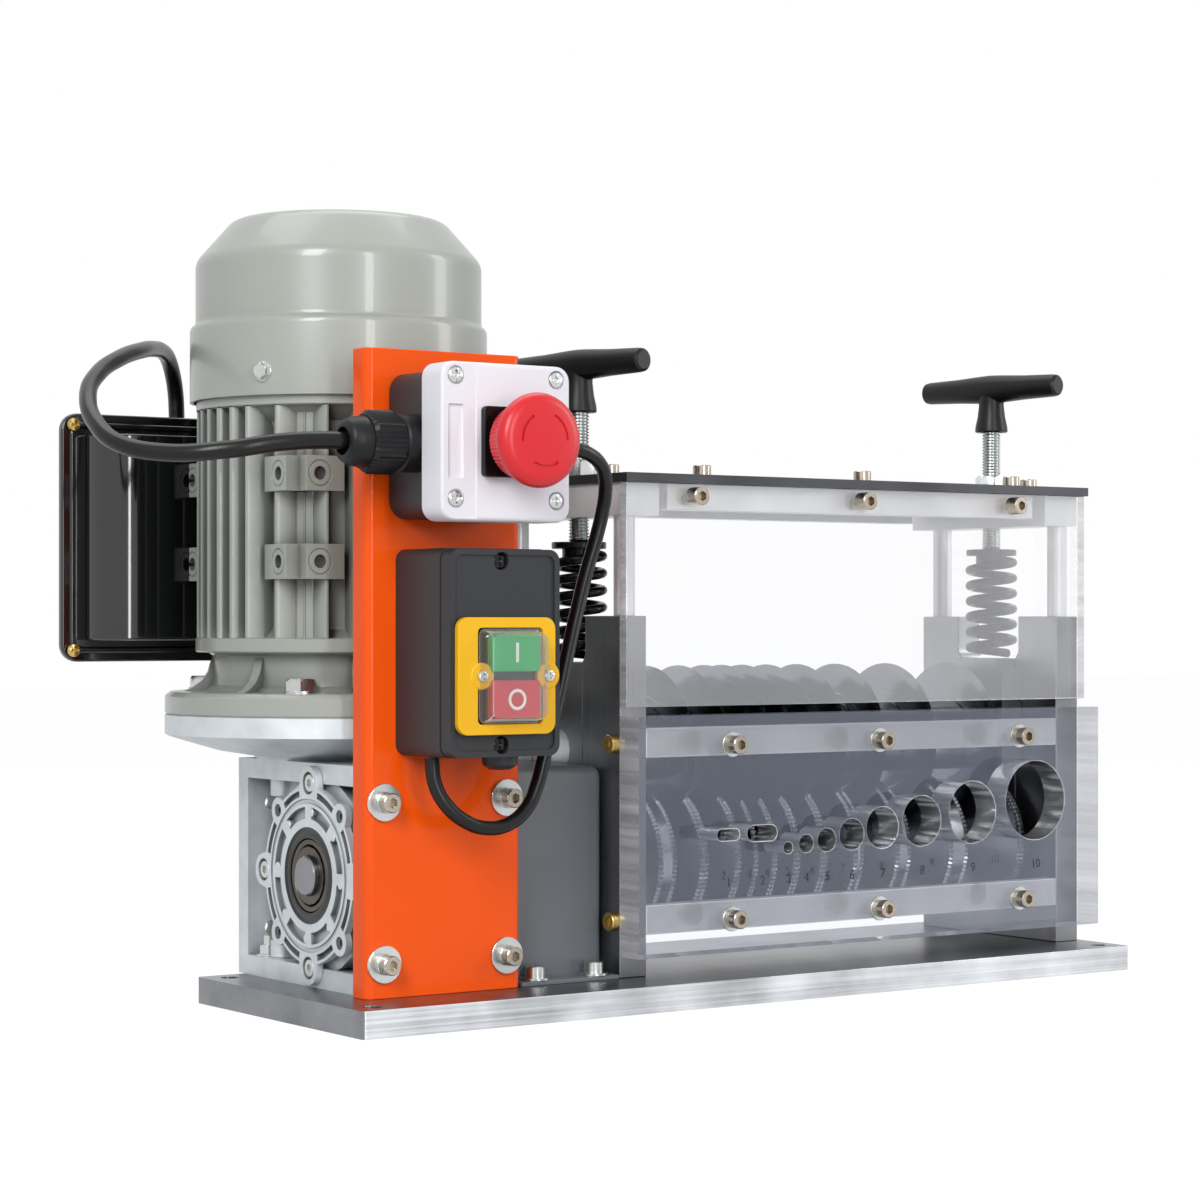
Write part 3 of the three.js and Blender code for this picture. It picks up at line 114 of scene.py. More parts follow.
world = bpy.data.worlds.new("studio")
world.use_nodes = True
bpy.context.scene.world = world
world_tree = world.node_tree
world_tree.nodes.clear()
white_share = seen_by(world_tree, "Is Camera Ray", "Is Transmission Ray", "Is Glossy Ray")
dim_light = add_node(world_tree, "Background", {"Color": linear("E6EAEE"), "Strength": 0.27})
white_light = add_node(world_tree, "Background", {"Color": (1, 1, 1, 1), "Strength": 1.0})
add_node(world_tree, "OutputWorld",
         Surface=mix_by(world_tree, white_share, dim_light, white_light))


# Studio floor: a wide white sweep that keeps a soft trace of the object's shadow
floor_size, floor_drop = 12.0, 0.0002
white_sweep = bpy.data.materials.new("white_sweep")
white_sweep.use_nodes = True
sweep_tree = white_sweep.node_tree
sweep_tree.nodes.clear()
sweep_paint = add_node(sweep_tree, "BsdfDiffuse", {"Color": linear("C4C4C4")})
sweep_glow = add_node(sweep_tree, "Emission", {"Color": (1, 1, 1, 1), "Strength": 1.175})
sweep_share = add_node(sweep_tree, "Math", {"operation": "MULTIPLY"})
sweep_share.inputs[1].default_value = 0.82
sweep_tree.links.new(seen_by(sweep_tree, "Is Camera Ray", "Is Glossy Ray"),
                     sweep_share.inputs[0])
add_node(sweep_tree, "OutputMaterial",
         Surface=mix_by(sweep_tree, sweep_share.outputs[0], sweep_paint, sweep_glow))
floor_mesh = bpy.data.meshes.new("floor")
floor_bm = bmesh.new()
bmesh.ops.create_grid(floor_bm, x_segments=1, y_segments=1, size=floor_size / 2)
bmesh.ops.translate(floor_bm, vec=(0, 0, -floor_drop), verts=floor_bm.verts)
floor_bm.to_mesh(floor_mesh)
floor_mesh.materials.append(white_sweep)
floor = bpy.data.objects.new("floor", floor_mesh)
bpy.context.scene.collection.objects.link(floor)


# Studio lamps: a tall key light from the left, a strip in front, and softer ones from the
# right and above
def softbox(name, position, aim, width, height, watts):
    """A large soft lamp that looks at a point, placed in metres"""
    lamp = bpy.data.lights.new(name, "AREA")
    lamp.shape = "RECTANGLE"
    lamp.size = width
    lamp.size_y = height
    lamp.energy = watts
    holder = bpy.data.objects.new(name, lamp)
    holder.location = position
    holder.rotation_euler = (Vector(aim) - Vector(position)).to_track_quat("-Z", "Y").to_euler()
    bpy.context.scene.collection.objects.link(holder)


softbox("key_light", (-1.7, -1.2, 1.3), (-0.05, 0, 0.15), 0.6, 1.2, 33)
softbox("strip_light", (-0.4, -2.1, 0.7), (-0.1, 0, 0.2), 0.25, 1.4, 14)
softbox("side_light", (1.7, -1.1, 0.9), (0, 0, 0.15), 0.5, 1.2, 12)
softbox("top_light", (0.1, 0.5, 1.8), (0, 0, 0.1), 1.6, 0.8, 9)


# Motor and control leads: rubber-sheathed cables of 7.6 and 6.4 mm that hang between the
# stop box, the capacitor box and the switch box, each pushed straight into its housing
FRAME_BODY = "machine_frame"


def start_material(name, slot):
    """A new node material for one of the record's slots, with its Object coordinates"""
    material = bpy.data.materials.new(name)
    material.use_nodes = True
    material["slot"] = slot
    tree = material.node_tree
    tree.nodes.clear()
    coordinates = add_node(tree, "TexCoord").outputs["Object"]
    return material, tree, coordinates


def shade_hollows(tree, tint, reach_mm, deepest):
    """Painted shade: darkens a colour where the piece's own walls stand close, where shade
    falls in grooves
    """
    near = add_node(tree, "AmbientOcclusion", {"only_local": True, "samples": 8,
                                               "Distance": reach_mm * MM})
    share = add_node(tree, "MapRange", {"From Min": 0.35, "From Max": 0.95,
                                        "To Min": deepest}, Value=near.outputs["AO"])
    shaded = add_node(tree, "VectorMath", {"operation": "SCALE"}, Scale=share.outputs[0])
    tree.links.new(tint.outputs[0], shaded.inputs[0])
    return shaded


def dress(material, colour, tone, rough, relief, strength, depth_mm, sockets, painted_hollow_shade=None):
    """Joins a colour and its drift of tone, a roughness and a relief in one shader"""
    tree = material.node_tree
    tint = add_node(tree, "VectorMath", {"operation": "SCALE"}, Scale=tone.outputs[0])
    tint.inputs[0].default_value = linear(colour)[:3]
    # Painted shade: where asked, the colour is darkened in the piece's own hollows
    if painted_hollow_shade:
        tint = shade_hollows(tree, tint, *painted_hollow_shade)
    bump = add_node(tree, "Bump", {"Strength": strength, "Distance": depth_mm * MM},
                    Height=relief.outputs["Fac"])
    shader = add_node(tree, "BsdfPrincipled", sockets, Base_Color=tint.outputs[0],
                      Roughness=rough.outputs[0], Normal=bump.outputs[0])
    add_node(tree, "OutputMaterial", Surface=shader.outputs[0])
    return material


def moulded(name, slot, colour, roughness, grain_mm, depth, coat=0.0, specular=0.5):
    """Moulded plastic: an even colour, and the fine grain of a spark-eroded mould. The
    grain is drawn several times coarser than the real one, so that it shows"""
    material, tree, coordinates = start_material(name, slot)
    grain = add_node(tree, "TexNoise", {"Scale": 1 / (grain_mm * MM), "Detail": 3.0},
                     Vector=coordinates)
    drift = add_node(tree, "TexNoise", {"Scale": 1 / (60 * MM), "Detail": 2.0},
                     Vector=coordinates)
    rough = add_node(tree, "MapRange", {"To Min": roughness - 0.05, "To Max": roughness + 0.07},
                     Value=drift.outputs["Fac"])
    tone = add_node(tree, "MapRange", {"To Min": 0.9, "To Max": 1.06},
                    Value=drift.outputs["Fac"])
    return dress(material, colour, tone, rough, grain, 0.35, depth,
                 {"IOR": 1.5, "Coat Weight": coat, "Specular IOR Level": specular})


# Rubber: near black, with a soft broad shine along the cable
rubber_sheath = moulded("rubber_sheath", "black_plastic", "101012", 0.27, 1.2, 0.02,
                        specular=0.3)
gland_y, stop_axis_z, capacitor_top = 8.0, 251.0, 268.8
motor_lead_route = [
    [0.4, 8, 251], [-14, 8, 251], [-34, 9, 249.5], [-56, 16, 246], [-74, 34, 245],
    [-86, 54, 249.5], [-88, 72, 259], [-82, 92, 272], [-68, 112, 283], [-47, 134, 292.5],
    [-24.5, 157.3, 299], [-11, 173, 301.5], [0.2, 186, 302], [7.2, 194.2, 299.9],
    [13.2, 201.3, 293.9], [17.4, 206.1, 284.8], [18.9, 207.9, 275.5], [19, 208, capacitor_top],
]
control_lead_route = [
    [109.9, 8, 251], [112.5, 8, 251], [116.7, 8.2, 250.7], [120.7, 8.7, 249.7],
    [127.9, 10.8, 246.1], [133.3, 14, 240.6], [136.3, 17.8, 233.4], [136.9, 20.8, 225],
    [134.5, 22.4, 213], [128.7, 22, 197], [122.5, 20.2, 180], [115.9, 17.6, 162],
    [109.4, 14.8, 144], [103.5, 12.6, 128], [98.4, 11.4, 114], [94.4, 10.6, 102.9],
    [88.2, 9.4, 93.3], [78.6, 8.6, 87.1], [67.2, 8.6, 85.6], [56.3, 9.6, 89.1],
    [47.8, 11.8, 96.8], [43.8, 13.8, 105.6], [43, 15, 116.6],
]


def place(x, y, z):
    """A place in millimetres from the base corner, as a point in metres"""
    return base_low + MM * Vector((x, y, z))


def lead(name, route, radius, node):
    """A cable that follows a route of points"""
    curve = bpy.data.curves.new(name, "CURVE")
    curve.dimensions = "3D"
    curve.bevel_depth = radius * MM
    curve.bevel_resolution = 7
    curve.resolution_u = 14
    curve.use_fill_caps = True
    spline = curve.splines.new("BEZIER")
    spline.bezier_points.add(len(route) - 1)
    for knot, point in zip(spline.bezier_points, route):
        knot.co = place(*point)
        knot.handle_left_type = "AUTO"
        knot.handle_right_type = "AUTO"
    curve.materials.append(rubber_sheath)
    piece = bpy.data.objects.new(name, curve)
    bpy.context.scene.collection.objects.link(piece)
    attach(piece, FRAME_BODY)
    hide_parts(node)


lead("motor_lead", motor_lead_route, 3.8, "motor_cable")
lead("control_lead", control_lead_route, 3.2, "control_cable")


# Cable glands: black nylon bodies with a hexagonal cap whose split fingers close on the
# cable, screwed into the left and right walls of the stop box
LEFT, RIGHT = (-1, 0, 0), (1, 0, 0)
FRONT, BACK = (0, -1, 0), (0, 1, 0)
UP = (0, 0, 1)


def turn(profile, centre, along, steps=48):
    """Spins a profile of (radius, place along the axis) round an axis into a closed body"""
    bm = bmesh.new()
    along, centre = Vector(along), Vector(centre)
    across = Vector(RIGHT) if abs(along.z) > 0.5 else Vector(UP)
    points = [bm.verts.new(centre + across * radius + along * rise) for radius, rise in profile]
    edges = [bm.edges.new(ends) for ends in zip(points, points[1:])]
    bmesh.ops.spin(bm, geom=points + edges, cent=centre, axis=along, angle=math.tau,
                   steps=steps, use_merge=True)
    bmesh.ops.remove_doubles(bm, verts=bm.verts, dist=0.0001)
    return bm


def shape_rings(bm, centre, along, low, high, outline):
    """Moves the vertices whose radius lies between low and high to outline(angle, radius)"""
    along, centre = Vector(along), Vector(centre)
    across = Vector(RIGHT) if abs(along.z) > 0.5 else Vector(UP)
    beside = along.cross(across)
    for vert in bm.verts:
        arm = vert.co - centre
        rise = arm.dot(along)
        u, v = arm.dot(across), arm.dot(beside)
        radius = math.hypot(u, v)
        if low <= radius <= high:
            angle = math.atan2(v, u)
            wanted = outline(angle, radius)
            turned = across * math.cos(angle) + beside * math.sin(angle)
            vert.co = centre + along * rise + turned * wanted


def hexagon(apothem):
    """The outline of a hexagon with that distance from its middle to its flats"""
    sixth = math.pi / 3
    return lambda angle, radius: apothem / math.cos(angle % sixth - sixth / 2)


def gather(bodies):
    """Puts several bmeshes into one"""
    whole = bmesh.new()
    for bm in bodies:
        mesh = bpy.data.meshes.new("loose")
        bm.to_mesh(mesh)
        whole.from_mesh(mesh)
        bpy.data.meshes.remove(mesh)
        bm.free()
    return whole


def finish_piece(bodies, name, finish, *stands_for, body=FRAME_BODY, edge=0.0, sharp=38):
    """Turns bmeshes, in millimetres from the corner, into one piece that rides on a body
    and stands for CAD nodes; edge is the radius of its broken edges"""
    bm = gather(bodies) if isinstance(bodies, list) else bodies
    finishes = finish if isinstance(finish, list) else [finish]
    bmesh.ops.remove_doubles(bm, verts=bm.verts, dist=0.0005)
    bmesh.ops.recalc_face_normals(bm, faces=bm.faces)
    bmesh.ops.scale(bm, vec=(MM, MM, MM), verts=bm.verts)
    bmesh.ops.translate(bm, vec=base_low, verts=bm.verts)
    mesh = bpy.data.meshes.new(name)
    bm.to_mesh(mesh)
    bm.free()
    for material in finishes:
        mesh.materials.append(material)
    mesh.shade_smooth()
    mesh.set_sharp_from_angle(angle=math.radians(sharp))
    piece = bpy.data.objects.new(name, mesh)
    bpy.context.scene.collection.objects.link(piece)
    if edge:
        rounding = piece.modifiers.new("broken_edges", "BEVEL")
        rounding.width = edge * MM
        rounding.segments = 2
        rounding.limit_method = "ANGLE"
        rounding.angle_limit = math.radians(sharp)
        rounding.harden_normals = True
    if body:
        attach(piece, body)
    if stands_for:
        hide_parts(*stands_for)
    return piece


# Nylon: near black, with a dull shine that keeps the ribs readable
black_nylon = moulded("black_nylon", "black_plastic", "141517", 0.4, 1.0, 0.08, specular=0.25)


def cable_gland(name, foot_x, along, size, node):
    """A gland that points to the left or right, at a share of the full M20 size"""
    collar_radius, collar_end = 12.5 * size, 10.4 * size
    nut_apothem, nut_end = 11.9 * size, 26.6 * size
    dome_radius, mouth_radius, dome_end = 11 * size, 7 * size, 36.3 * size
    seal_radius, cable_radius = 6 * size, 4.2 * size
    centre = (foot_x, gland_y, stop_axis_z)
    edge = 0.8 * size
    collar = turn([(0, 0), (collar_radius - edge, 0), (collar_radius, edge),
                   (collar_radius, collar_end - edge), (collar_radius - edge, collar_end),
                   (0, collar_end)], centre, along)
    nut = turn([(0, collar_end), (collar_radius - edge, collar_end),
                (collar_radius + edge, collar_end + 2 * edge),
                (collar_radius + edge, nut_end - 2 * edge), (collar_radius - edge, nut_end),
                (0, nut_end)], centre, along, 72)
    flats = hexagon(nut_apothem)
    ribs = 0.35 * size

    def ribbed(angle, radius):
        return min(flats(angle, radius), collar_radius + edge) + ribs * math.cos(36 * angle)

    shape_rings(nut, centre, along, collar_radius, 2 * collar_radius, ribbed)
    bulge = [(dome_radius * math.cos(k) + mouth_radius * (1 - math.cos(k)),
              nut_end + (dome_end - nut_end) * math.sin(k))
             for k in (0, 0.5, 0.9, 1.2, math.pi / 2)]
    dome = turn([(0, nut_end - 1)] + [(dome_radius, nut_end - 1)] + bulge
                + [(seal_radius, dome_end), (seal_radius, dome_end - 3 * size),
                   (cable_radius, dome_end - 2 * size), (cable_radius, nut_end),
                   (0, nut_end - 0.5)], centre, along, 60)
    finish_piece([collar, nut, dome], name, black_nylon, node, sharp=30)


cable_gland("motor_gland", 31, LEFT, 1.0, "motor_cable_gland")
cable_gland("control_gland", 87, RIGHT, 0.62, "control_cable_gland")


# Base plate: a 12 mm steel plate, surface ground along its length and milled on its front and
# back edges, which carry a painted highlight, with a bolt hole near each corner
def ground_metal(name, slot, colour, roughness, grain, scratch_mm, metallic=1.0, streak=0.35):
    """Ground or brushed metal: long fine scratches along one axis, a slight drift of tone,
    and a brighter or duller reflection from streak to streak"""
    material, tree, coordinates = start_material(name, slot)
    stretch = [1 / (scratch_mm * MM)] * 3
    stretch[grain] = 1 / (150 * scratch_mm * MM)
    lines = add_node(tree, "Mapping", {"Scale": stretch}, Vector=coordinates)
    scratches = add_node(tree, "TexNoise", {"Scale": 1.0, "Detail": 4.0, "Roughness": 0.65},
                         Vector=lines.outputs[0])
    drift = add_node(tree, "TexNoise", {"Scale": 1 / (45 * MM), "Detail": 3.0},
                     Vector=coordinates)
    rough = add_node(tree, "MapRange", {"To Min": roughness - 0.5 * streak * roughness,
                                        "To Max": roughness + streak * roughness},
                     Value=scratches.outputs["Fac"])
    both = add_node(tree, "Math", {"operation": "MULTIPLY_ADD"})
    tree.links.new(scratches.outputs["Fac"], both.inputs[0])
    both.inputs[1].default_value = streak
    tree.links.new(drift.outputs["Fac"], both.inputs[2])
    tone = add_node(tree, "MapRange", {"From Min": 0.35 + 0.35 * streak,
                                       "From Max": 0.65 + 0.65 * streak,
                                       "To Min": 1 - 0.9 * streak, "To Max": 1 + 0.4 * streak},
                    Value=both.outputs[0])
    return dress(material, colour, tone, rough, scratches, 0.25, 0.03, {"Metallic": metallic})


def trimmed_copy(node):
    """A copy of a CAD node's mesh in millimetres from the corner, with whole faces"""
    bm = bmesh.new()
    bm.from_mesh(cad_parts[node].data)
    bmesh.ops.translate(bm, vec=-base_low, verts=bm.verts)
    bmesh.ops.scale(bm, vec=(1 / MM, 1 / MM, 1 / MM), verts=bm.verts)
    bmesh.ops.remove_doubles(bm, verts=bm.verts, dist=0.005)
    bmesh.ops.dissolve_limit(bm, angle_limit=math.radians(1), verts=bm.verts, edges=bm.edges)
    return bm


# Ground steel: mid grey with fine streaks; the milled edges are painted nearly white, as a
# highlight
ground_steel = ground_metal("ground_steel", "steel", "85878B", 0.3, 0, 0.9, streak=0.45)
milled_edge_highlight = ground_metal("milled_steel_painted_highlight", "steel", "DDE0E4", 0.26, 0, 1.4, streak=0.55)
base_plate = trimmed_copy("base_plate")
# The milled front and back faces take the near-white copy, a painted highlight
for face in base_plate.faces:
    face.material_index = 1 if abs(face.normal.y) > 0.9 else 0
finish_piece(base_plate, "base_plate_ground", [ground_steel, milled_edge_highlight], "base_plate",
             edge=0.7)


# Gearbox bracket: a channel folded from 3 mm steel sheet and powder coated gloss orange;
# it stands on the base in front of the gearbox and carries both control boxes
def sprayed(name, slot, colour, roughness, peel_mm, depth, coat=0.0, metallic=0.0,
            specular=0.5, painted_hollow_shade=None):
    """Sprayed or powder paint on metal: an even colour with a fine orange peel, and painted
    shade in its hollows where asked
    """
    material, tree, coordinates = start_material(name, slot)
    peel = add_node(tree, "TexNoise", {"Scale": 1 / (peel_mm * MM), "Detail": 2.0},
                    Vector=coordinates)
    drift = add_node(tree, "TexNoise", {"Scale": 1 / (80 * MM), "Detail": 2.0},
                     Vector=coordinates)
    rough = add_node(tree, "MapRange", {"To Min": roughness - 0.04, "To Max": roughness + 0.06},
                     Value=drift.outputs["Fac"])
    tone = add_node(tree, "MapRange", {"To Min": 0.93, "To Max": 1.05},
                    Value=drift.outputs["Fac"])
    return dress(material, colour, tone, rough, peel, 0.3, depth,
                 {"IOR": 1.5, "Coat Weight": coat, "Coat Roughness": 0.05,
                  "Metallic": metallic, "Specular IOR Level": specular}, painted_hollow_shade)


def round_edges(bm, edges, radius, segments):
    """Rounds the given edges of a bmesh"""
    bmesh.ops.bevel(bm, geom=edges, offset=radius, offset_type="OFFSET", segments=segments,
                    profile=0.5, affect="EDGES", material=-1)


def block(low, high, corner=0.0, corner_axis=2, segments=6):
    """A block between two corners, with the edges along one axis rounded"""
    bm = bmesh.new()
    bmesh.ops.create_cube(bm, size=1)
    low, high = Vector(low), Vector(high)
    bmesh.ops.scale(bm, vec=high - low, verts=bm.verts)
    bmesh.ops.translate(bm, vec=(low + high) / 2, verts=bm.verts)
    if corner:
        upright = [edge for edge in bm.edges
                   if abs((edge.verts[0].co - edge.verts[1].co)[corner_axis]) > 0.001]
        round_edges(bm, upright, corner, segments)
    return bm


def carve(bm, *tools):
    """Takes one or more solids away from another, all at once"""
    solids = []
    for source in (bm, gather(tools) if len(tools) > 1 else tools[0]):
        bmesh.ops.recalc_face_normals(source, faces=source.faces)
        mesh = bpy.data.meshes.new("carving")
        source.to_mesh(mesh)
        solid = bpy.data.objects.new("carving", mesh)
        bpy.context.scene.collection.objects.link(solid)
        solids.append(solid)
    cut = solids[0].modifiers.new("cut", "BOOLEAN")
    cut.object = solids[1]
    cut.operation = "DIFFERENCE"
    cut.solver = "EXACT"
    graph = bpy.context.evaluated_depsgraph_get()
    result = bpy.data.meshes.new_from_object(solids[0].evaluated_get(graph))
    bm.clear()
    bm.from_mesh(result)
    for solid in solids:
        old = solid.data
        bpy.data.objects.remove(solid)
        bpy.data.meshes.remove(old)
    bpy.data.meshes.remove(result)
    return bm


# Powder coat: a strong even orange with a faint, wavy gloss
orange_powder_coat = sprayed("orange_powder_coat", "orange_paint", "F5560A", 0.22, 2.2, 0.05,
                             coat=0.15, specular=0.15)
bracket_left, bracket_right, bracket_foot, bracket_top = 20, 100, 12, 293.5
bracket_front, bracket_back, bracket_sheet, bend_radius = 31, 43, 3, 4
channel = block((bracket_left, bracket_front, bracket_foot),
                (bracket_right, bracket_back + 20, bracket_top), bend_radius)
carve(channel, block((bracket_left + bracket_sheet, bracket_front + bracket_sheet, 0),
                     (bracket_right - bracket_sheet, bracket_back + 40, 300),
                     bend_radius - bracket_sheet))
carve(channel, block((0, bracket_back, 0), (120, bracket_back + 50, 300)))
finish_piece(channel, "bracket_coated", orange_powder_coat, "bracket_plate", edge=0.5)


# Bracket bolts: nickel-plated cap screws on wide zinc washers, through the bracket into the
# gearbox's feet
def washer(centre, along, outer, inner, thickness):
    """A flat ring with its edges broken"""
    edge = 0.15
    return turn([(inner, 0), (outer - edge, 0), (outer, edge), (outer, thickness - edge),
                 (outer - edge, thickness), (inner, thickness), (inner, 0)],
                centre, along, 32)


def socket_screw(centre, along, radius, height, across):
    """A cap screw's head with a hexagonal socket of that width across its flats"""
    edge = 0.09 * radius
    socket = across / 2 / math.cos(math.pi / 6)
    bm = turn([(0, 0.4 * height), (socket, 0.45 * height), (socket, height),
               (radius - edge, height), (radius, height - edge), (radius, 0), (0, 0)],
              centre, along, 36)
    shape_rings(bm, centre, along, 0.9 * socket, 1.1 * socket, hexagon(across / 2))
    return bm


# Zinc plate: pale silver. Nickel plate: warmer and darker, and streakier
zinc_plate = ground_metal("zinc_plate", "zinc", "C9CCCB", 0.26, 2, 0.6, streak=0.2)
nickel_steel = ground_metal("nickel_plated_steel", "zinc", "B3A99B", 0.22, 2, 0.6, streak=0.3)
foot_span_x, foot_span_z = 31.5, 35
gear_x, shaft_y, shaft_z = 60, 84, 62
wide_washer, lock_washer = 1.6, 1.3
bracket_washers = []
bracket_heads = []
for side in (-1, 1):
    for level in (-1, 1):
        x, z = gear_x + side * foot_span_x, shaft_z + level * foot_span_z
        head_y = bracket_front - wide_washer
        bracket_washers.append(washer((x, bracket_front, z), FRONT, 8.2, 4, wide_washer))
        bracket_washers.append(washer((x, head_y, z), FRONT, 4.6, 2.6, lock_washer))
        bracket_heads.append(socket_screw((x, head_y - lock_washer, z), FRONT, 4.3, 5, 4.2))
finish_piece(bracket_washers, "bracket_washers", zinc_plate)
finish_piece(bracket_heads, "bracket_bolts", nickel_steel)


# Worm gearbox: a die-cast aluminium housing with feet and flanges round its worm case, two
# bosses on its left side and a nut on the stud that holds its foot
def cast_metal(name, slot, colour, grain_mm, depth):
    """Die-cast aluminium, shot blasted: fine pits, a dull sheen and slight mottling, with
    painted shade darkening its hollows
    """
    material, tree, coordinates = start_material(name, slot)
    pits = add_node(tree, "TexNoise", {"Scale": 1 / (grain_mm * MM), "Detail": 5.0,
                                       "Roughness": 0.7}, Vector=coordinates)
    mottle = add_node(tree, "TexNoise", {"Scale": 1 / (12 * MM), "Detail": 4.0},
                      Vector=coordinates)
    rough = add_node(tree, "MapRange", {"To Min": 0.38, "To Max": 0.6},
                     Value=mottle.outputs["Fac"])
    tone = add_node(tree, "MapRange", {"From Min": 0.25, "From Max": 0.75, "To Min": 0.86,
                                       "To Max": 1.07}, Value=mottle.outputs["Fac"])
    return dress(material, colour, tone, rough, pits, 0.45, depth, {"Metallic": 0.45},
                 painted_hollow_shade=(8, 0.35))


def rod(radius, low, high, centre, along, steps):
    """A plain cylinder between two places along an axis"""
    return turn([(0, low), (radius, low), (radius, high), (0, high)], centre, along, steps)


cast_aluminium = cast_metal("cast_aluminium", "cast_aluminium", "D3D9DD", 0.9, 0.12)
gear_bottom, gear_top = 12, 112
finish_piece(trimmed_copy("gearbox_housing"), "gearbox_casting", cast_aluminium,
             "gearbox_housing", edge=0.9)
boss_height = 8
finish_piece([rod(5.5, low, low + boss_height, (33, 129, 0), UP, 28)
              for low in (gear_bottom + 9, gear_top - 17)],
             "gearbox_bosses", cast_aluminium, edge=0.6)
stud_seat = (30.5, 137.5, gear_bottom + 9)
stud_nut = turn([(0, 1), (4.6, 1), (4.6, 4.6), (3.9, 5.2), (2.5, 5.2), (2.5, 9.4),
                 (2.1, 9.8), (0, 9.8)], stud_seat, UP, 36)
shape_rings(stud_nut, stud_seat, UP, 4.5, 4.7, hexagon(4))
finish_piece([washer(stud_seat, UP, 5.5, 2.6, 1), stud_nut], "gearbox_foot_stud", zinc_plate)


# Output cover: one aluminium casting, a wavy rim that joins eight lobes, two grooved rings
# inside it and pockets between the ribs, held to the gearbox by cap screws
def prism(points, low, high, matrix=None):
    """A flat outline in local X and Y, given a thickness along local Z and then placed"""
    bm = bmesh.new()
    base = bm.faces.new([bm.verts.new((x, y, low)) for x, y in points])
    raised = bmesh.ops.extrude_face_region(bm, geom=[base])["geom"]
    tops = [item for item in raised if isinstance(item, bmesh.types.BMVert)]
    bmesh.ops.translate(bm, vec=(0, 0, high - low), verts=tops)
    return moved(bm, matrix) if matrix else bm


def moved(bm, matrix):
    """Moves a whole bmesh by a matrix"""
    bmesh.ops.transform(bm, matrix=matrix, verts=bm.verts)
    return bm


def arc(radius, start, end, steps=8):
    """Points on an arc, one more than the steps"""
    angles = [start + (end - start) * k / steps for k in range(steps + 1)]
    return [(radius * math.cos(angle), radius * math.sin(angle)) for angle in angles]


def ring(inner, outer, low, high, centre, along, steps):
    """A flat ring or a tube between two places along an axis"""
    return turn([(inner, low), (outer, low), (outer, high), (inner, high), (inner, low)],
                centre, along, steps)


cover_face, cover_depth, star_depth, pocket_depth = 21, 5.8, 3.3, 2.7
cover_centre = (cover_face, shaft_y, shaft_z)
cover_matrix = Matrix(((0, 0, 1, cover_face), (1, 0, 0, shaft_y), (0, 1, 0, shaft_z),
                       (0, 0, 0, 1)))
rim_radius, rim_flat, rim_steps = 39.6, 40.4, 240
large_lobe, small_lobe = (41.2, 7.6), (39.2, 5.8)
eighth = math.pi / 4
lobes = [(number * eighth, number % 2) for number in range(8)]


def star_radius(angle):
    """The rim of the cover: a circle that swells smoothly into the eight lobes"""
    reaches = [rim_radius]
    for middle, small in lobes:
        pitch, radius = small_lobe if small else large_lobe
        off = pitch * math.sin(angle - middle)
        along = pitch * math.cos(angle - middle)
        if abs(off) < radius and along > 0:
            reaches.append(along + math.sqrt(radius ** 2 - off ** 2))
    return math.log(sum(math.exp(1.2 * (reach - 40)) for reach in reaches)) / 1.2 + 40


def lobe_place(middle, small):
    """The y and z of a lobe's middle"""
    pitch = (small_lobe if small else large_lobe)[0]
    return shaft_y + pitch * math.cos(middle), shaft_z + pitch * math.sin(middle)


rim = []
for step in range(rim_steps):
    angle = step * math.tau / rim_steps
    reach = star_radius(angle)
    rim.append((max(reach * math.cos(angle), -rim_flat), reach * math.sin(angle)))
star = prism(rim, 0, star_depth, cover_matrix)
cover_tools = [turn([(0, -2), (21.6, -2), (21.6, 1.4), (19, 1.4), (19, 8), (0, 8)],
                    cover_centre, RIGHT, 72)]
for middle, small in lobes:
    clear, next_clear = (0.16, 0.215) if small else (0.215, 0.16)
    start, end = middle + clear, middle + eighth - next_clear
    outer_pocket = arc(38.2, start, end) + arc(35.4, end, start)
    inner_pocket = (arc(30.6, middle + 0.09, middle + eighth - 0.09)
                    + arc(25.4, middle + eighth - 0.1, middle + 0.1))
    cover_tools.append(prism(outer_pocket, -2, pocket_depth, cover_matrix))
    cover_tools.append(prism(inner_pocket, -2, pocket_depth, cover_matrix))
    y, z = lobe_place(middle, small)
    recess = 2.9 if small else 5.1
    if y > bracket_back + recess:
        cover_tools.append(rod(recess, -2, 2.4, (cover_face, y, z), RIGHT, 32))
cover_tools.append(ring(32.2, 34.2, -2, 0.7, cover_centre, RIGHT, 96))
cover_parts = [carve(star, *cover_tools),
               ring(19, 36.2, star_depth, cover_depth, cover_centre, RIGHT, 72)]
boss_pitch = 28.4
for middle, small in lobes:
    angle = middle + 0.08
    seat = (cover_face, shaft_y + boss_pitch * math.cos(angle),
            shaft_z + boss_pitch * math.sin(angle))
    cover_parts.append(turn([(0, -0.1), (1.7, -0.1), (2.1, 0.3), (2.1, 3), (0, 3)], seat,
                            RIGHT, 24))
finish_piece(cover_parts, "output_cover_cast", cast_aluminium, "output_cover", edge=0.35)

cover_screws = []
thread_shade_marks = []
for middle, small in lobes:
    y, z = lobe_place(middle, small)
    if y < bracket_back + 6:
        continue
    if small:
        # A dark mark in each small lobe's hole: its threads, and painted shade in the hole
        thread_shade_marks.append(turn([(0, 1.9), (1.3, 1.9), (1.3, 1), (2.9, 0.5), (2.9, 2.3),
                                  (0, 2.3)], (cover_face, y, z), RIGHT, 24))
    else:
        cover_screws.append(socket_screw((cover_face + 2.4, y, z), LEFT, 4.1, 1.9, 3.4))
finish_piece(cover_screws, "output_cover_screws", zinc_plate)
# Threads: a dull dark grey in the depth of the holes, partly the threads' own colour and partly
# painted shade
threads_and_hole_shade = sprayed("threads_and_hole_shade", "steel", "5A5F60", 0.4, 1.0, 0.05, metallic=0.5)
finish_piece(thread_shade_marks, "output_cover_thread_shading", threads_and_hole_shade)


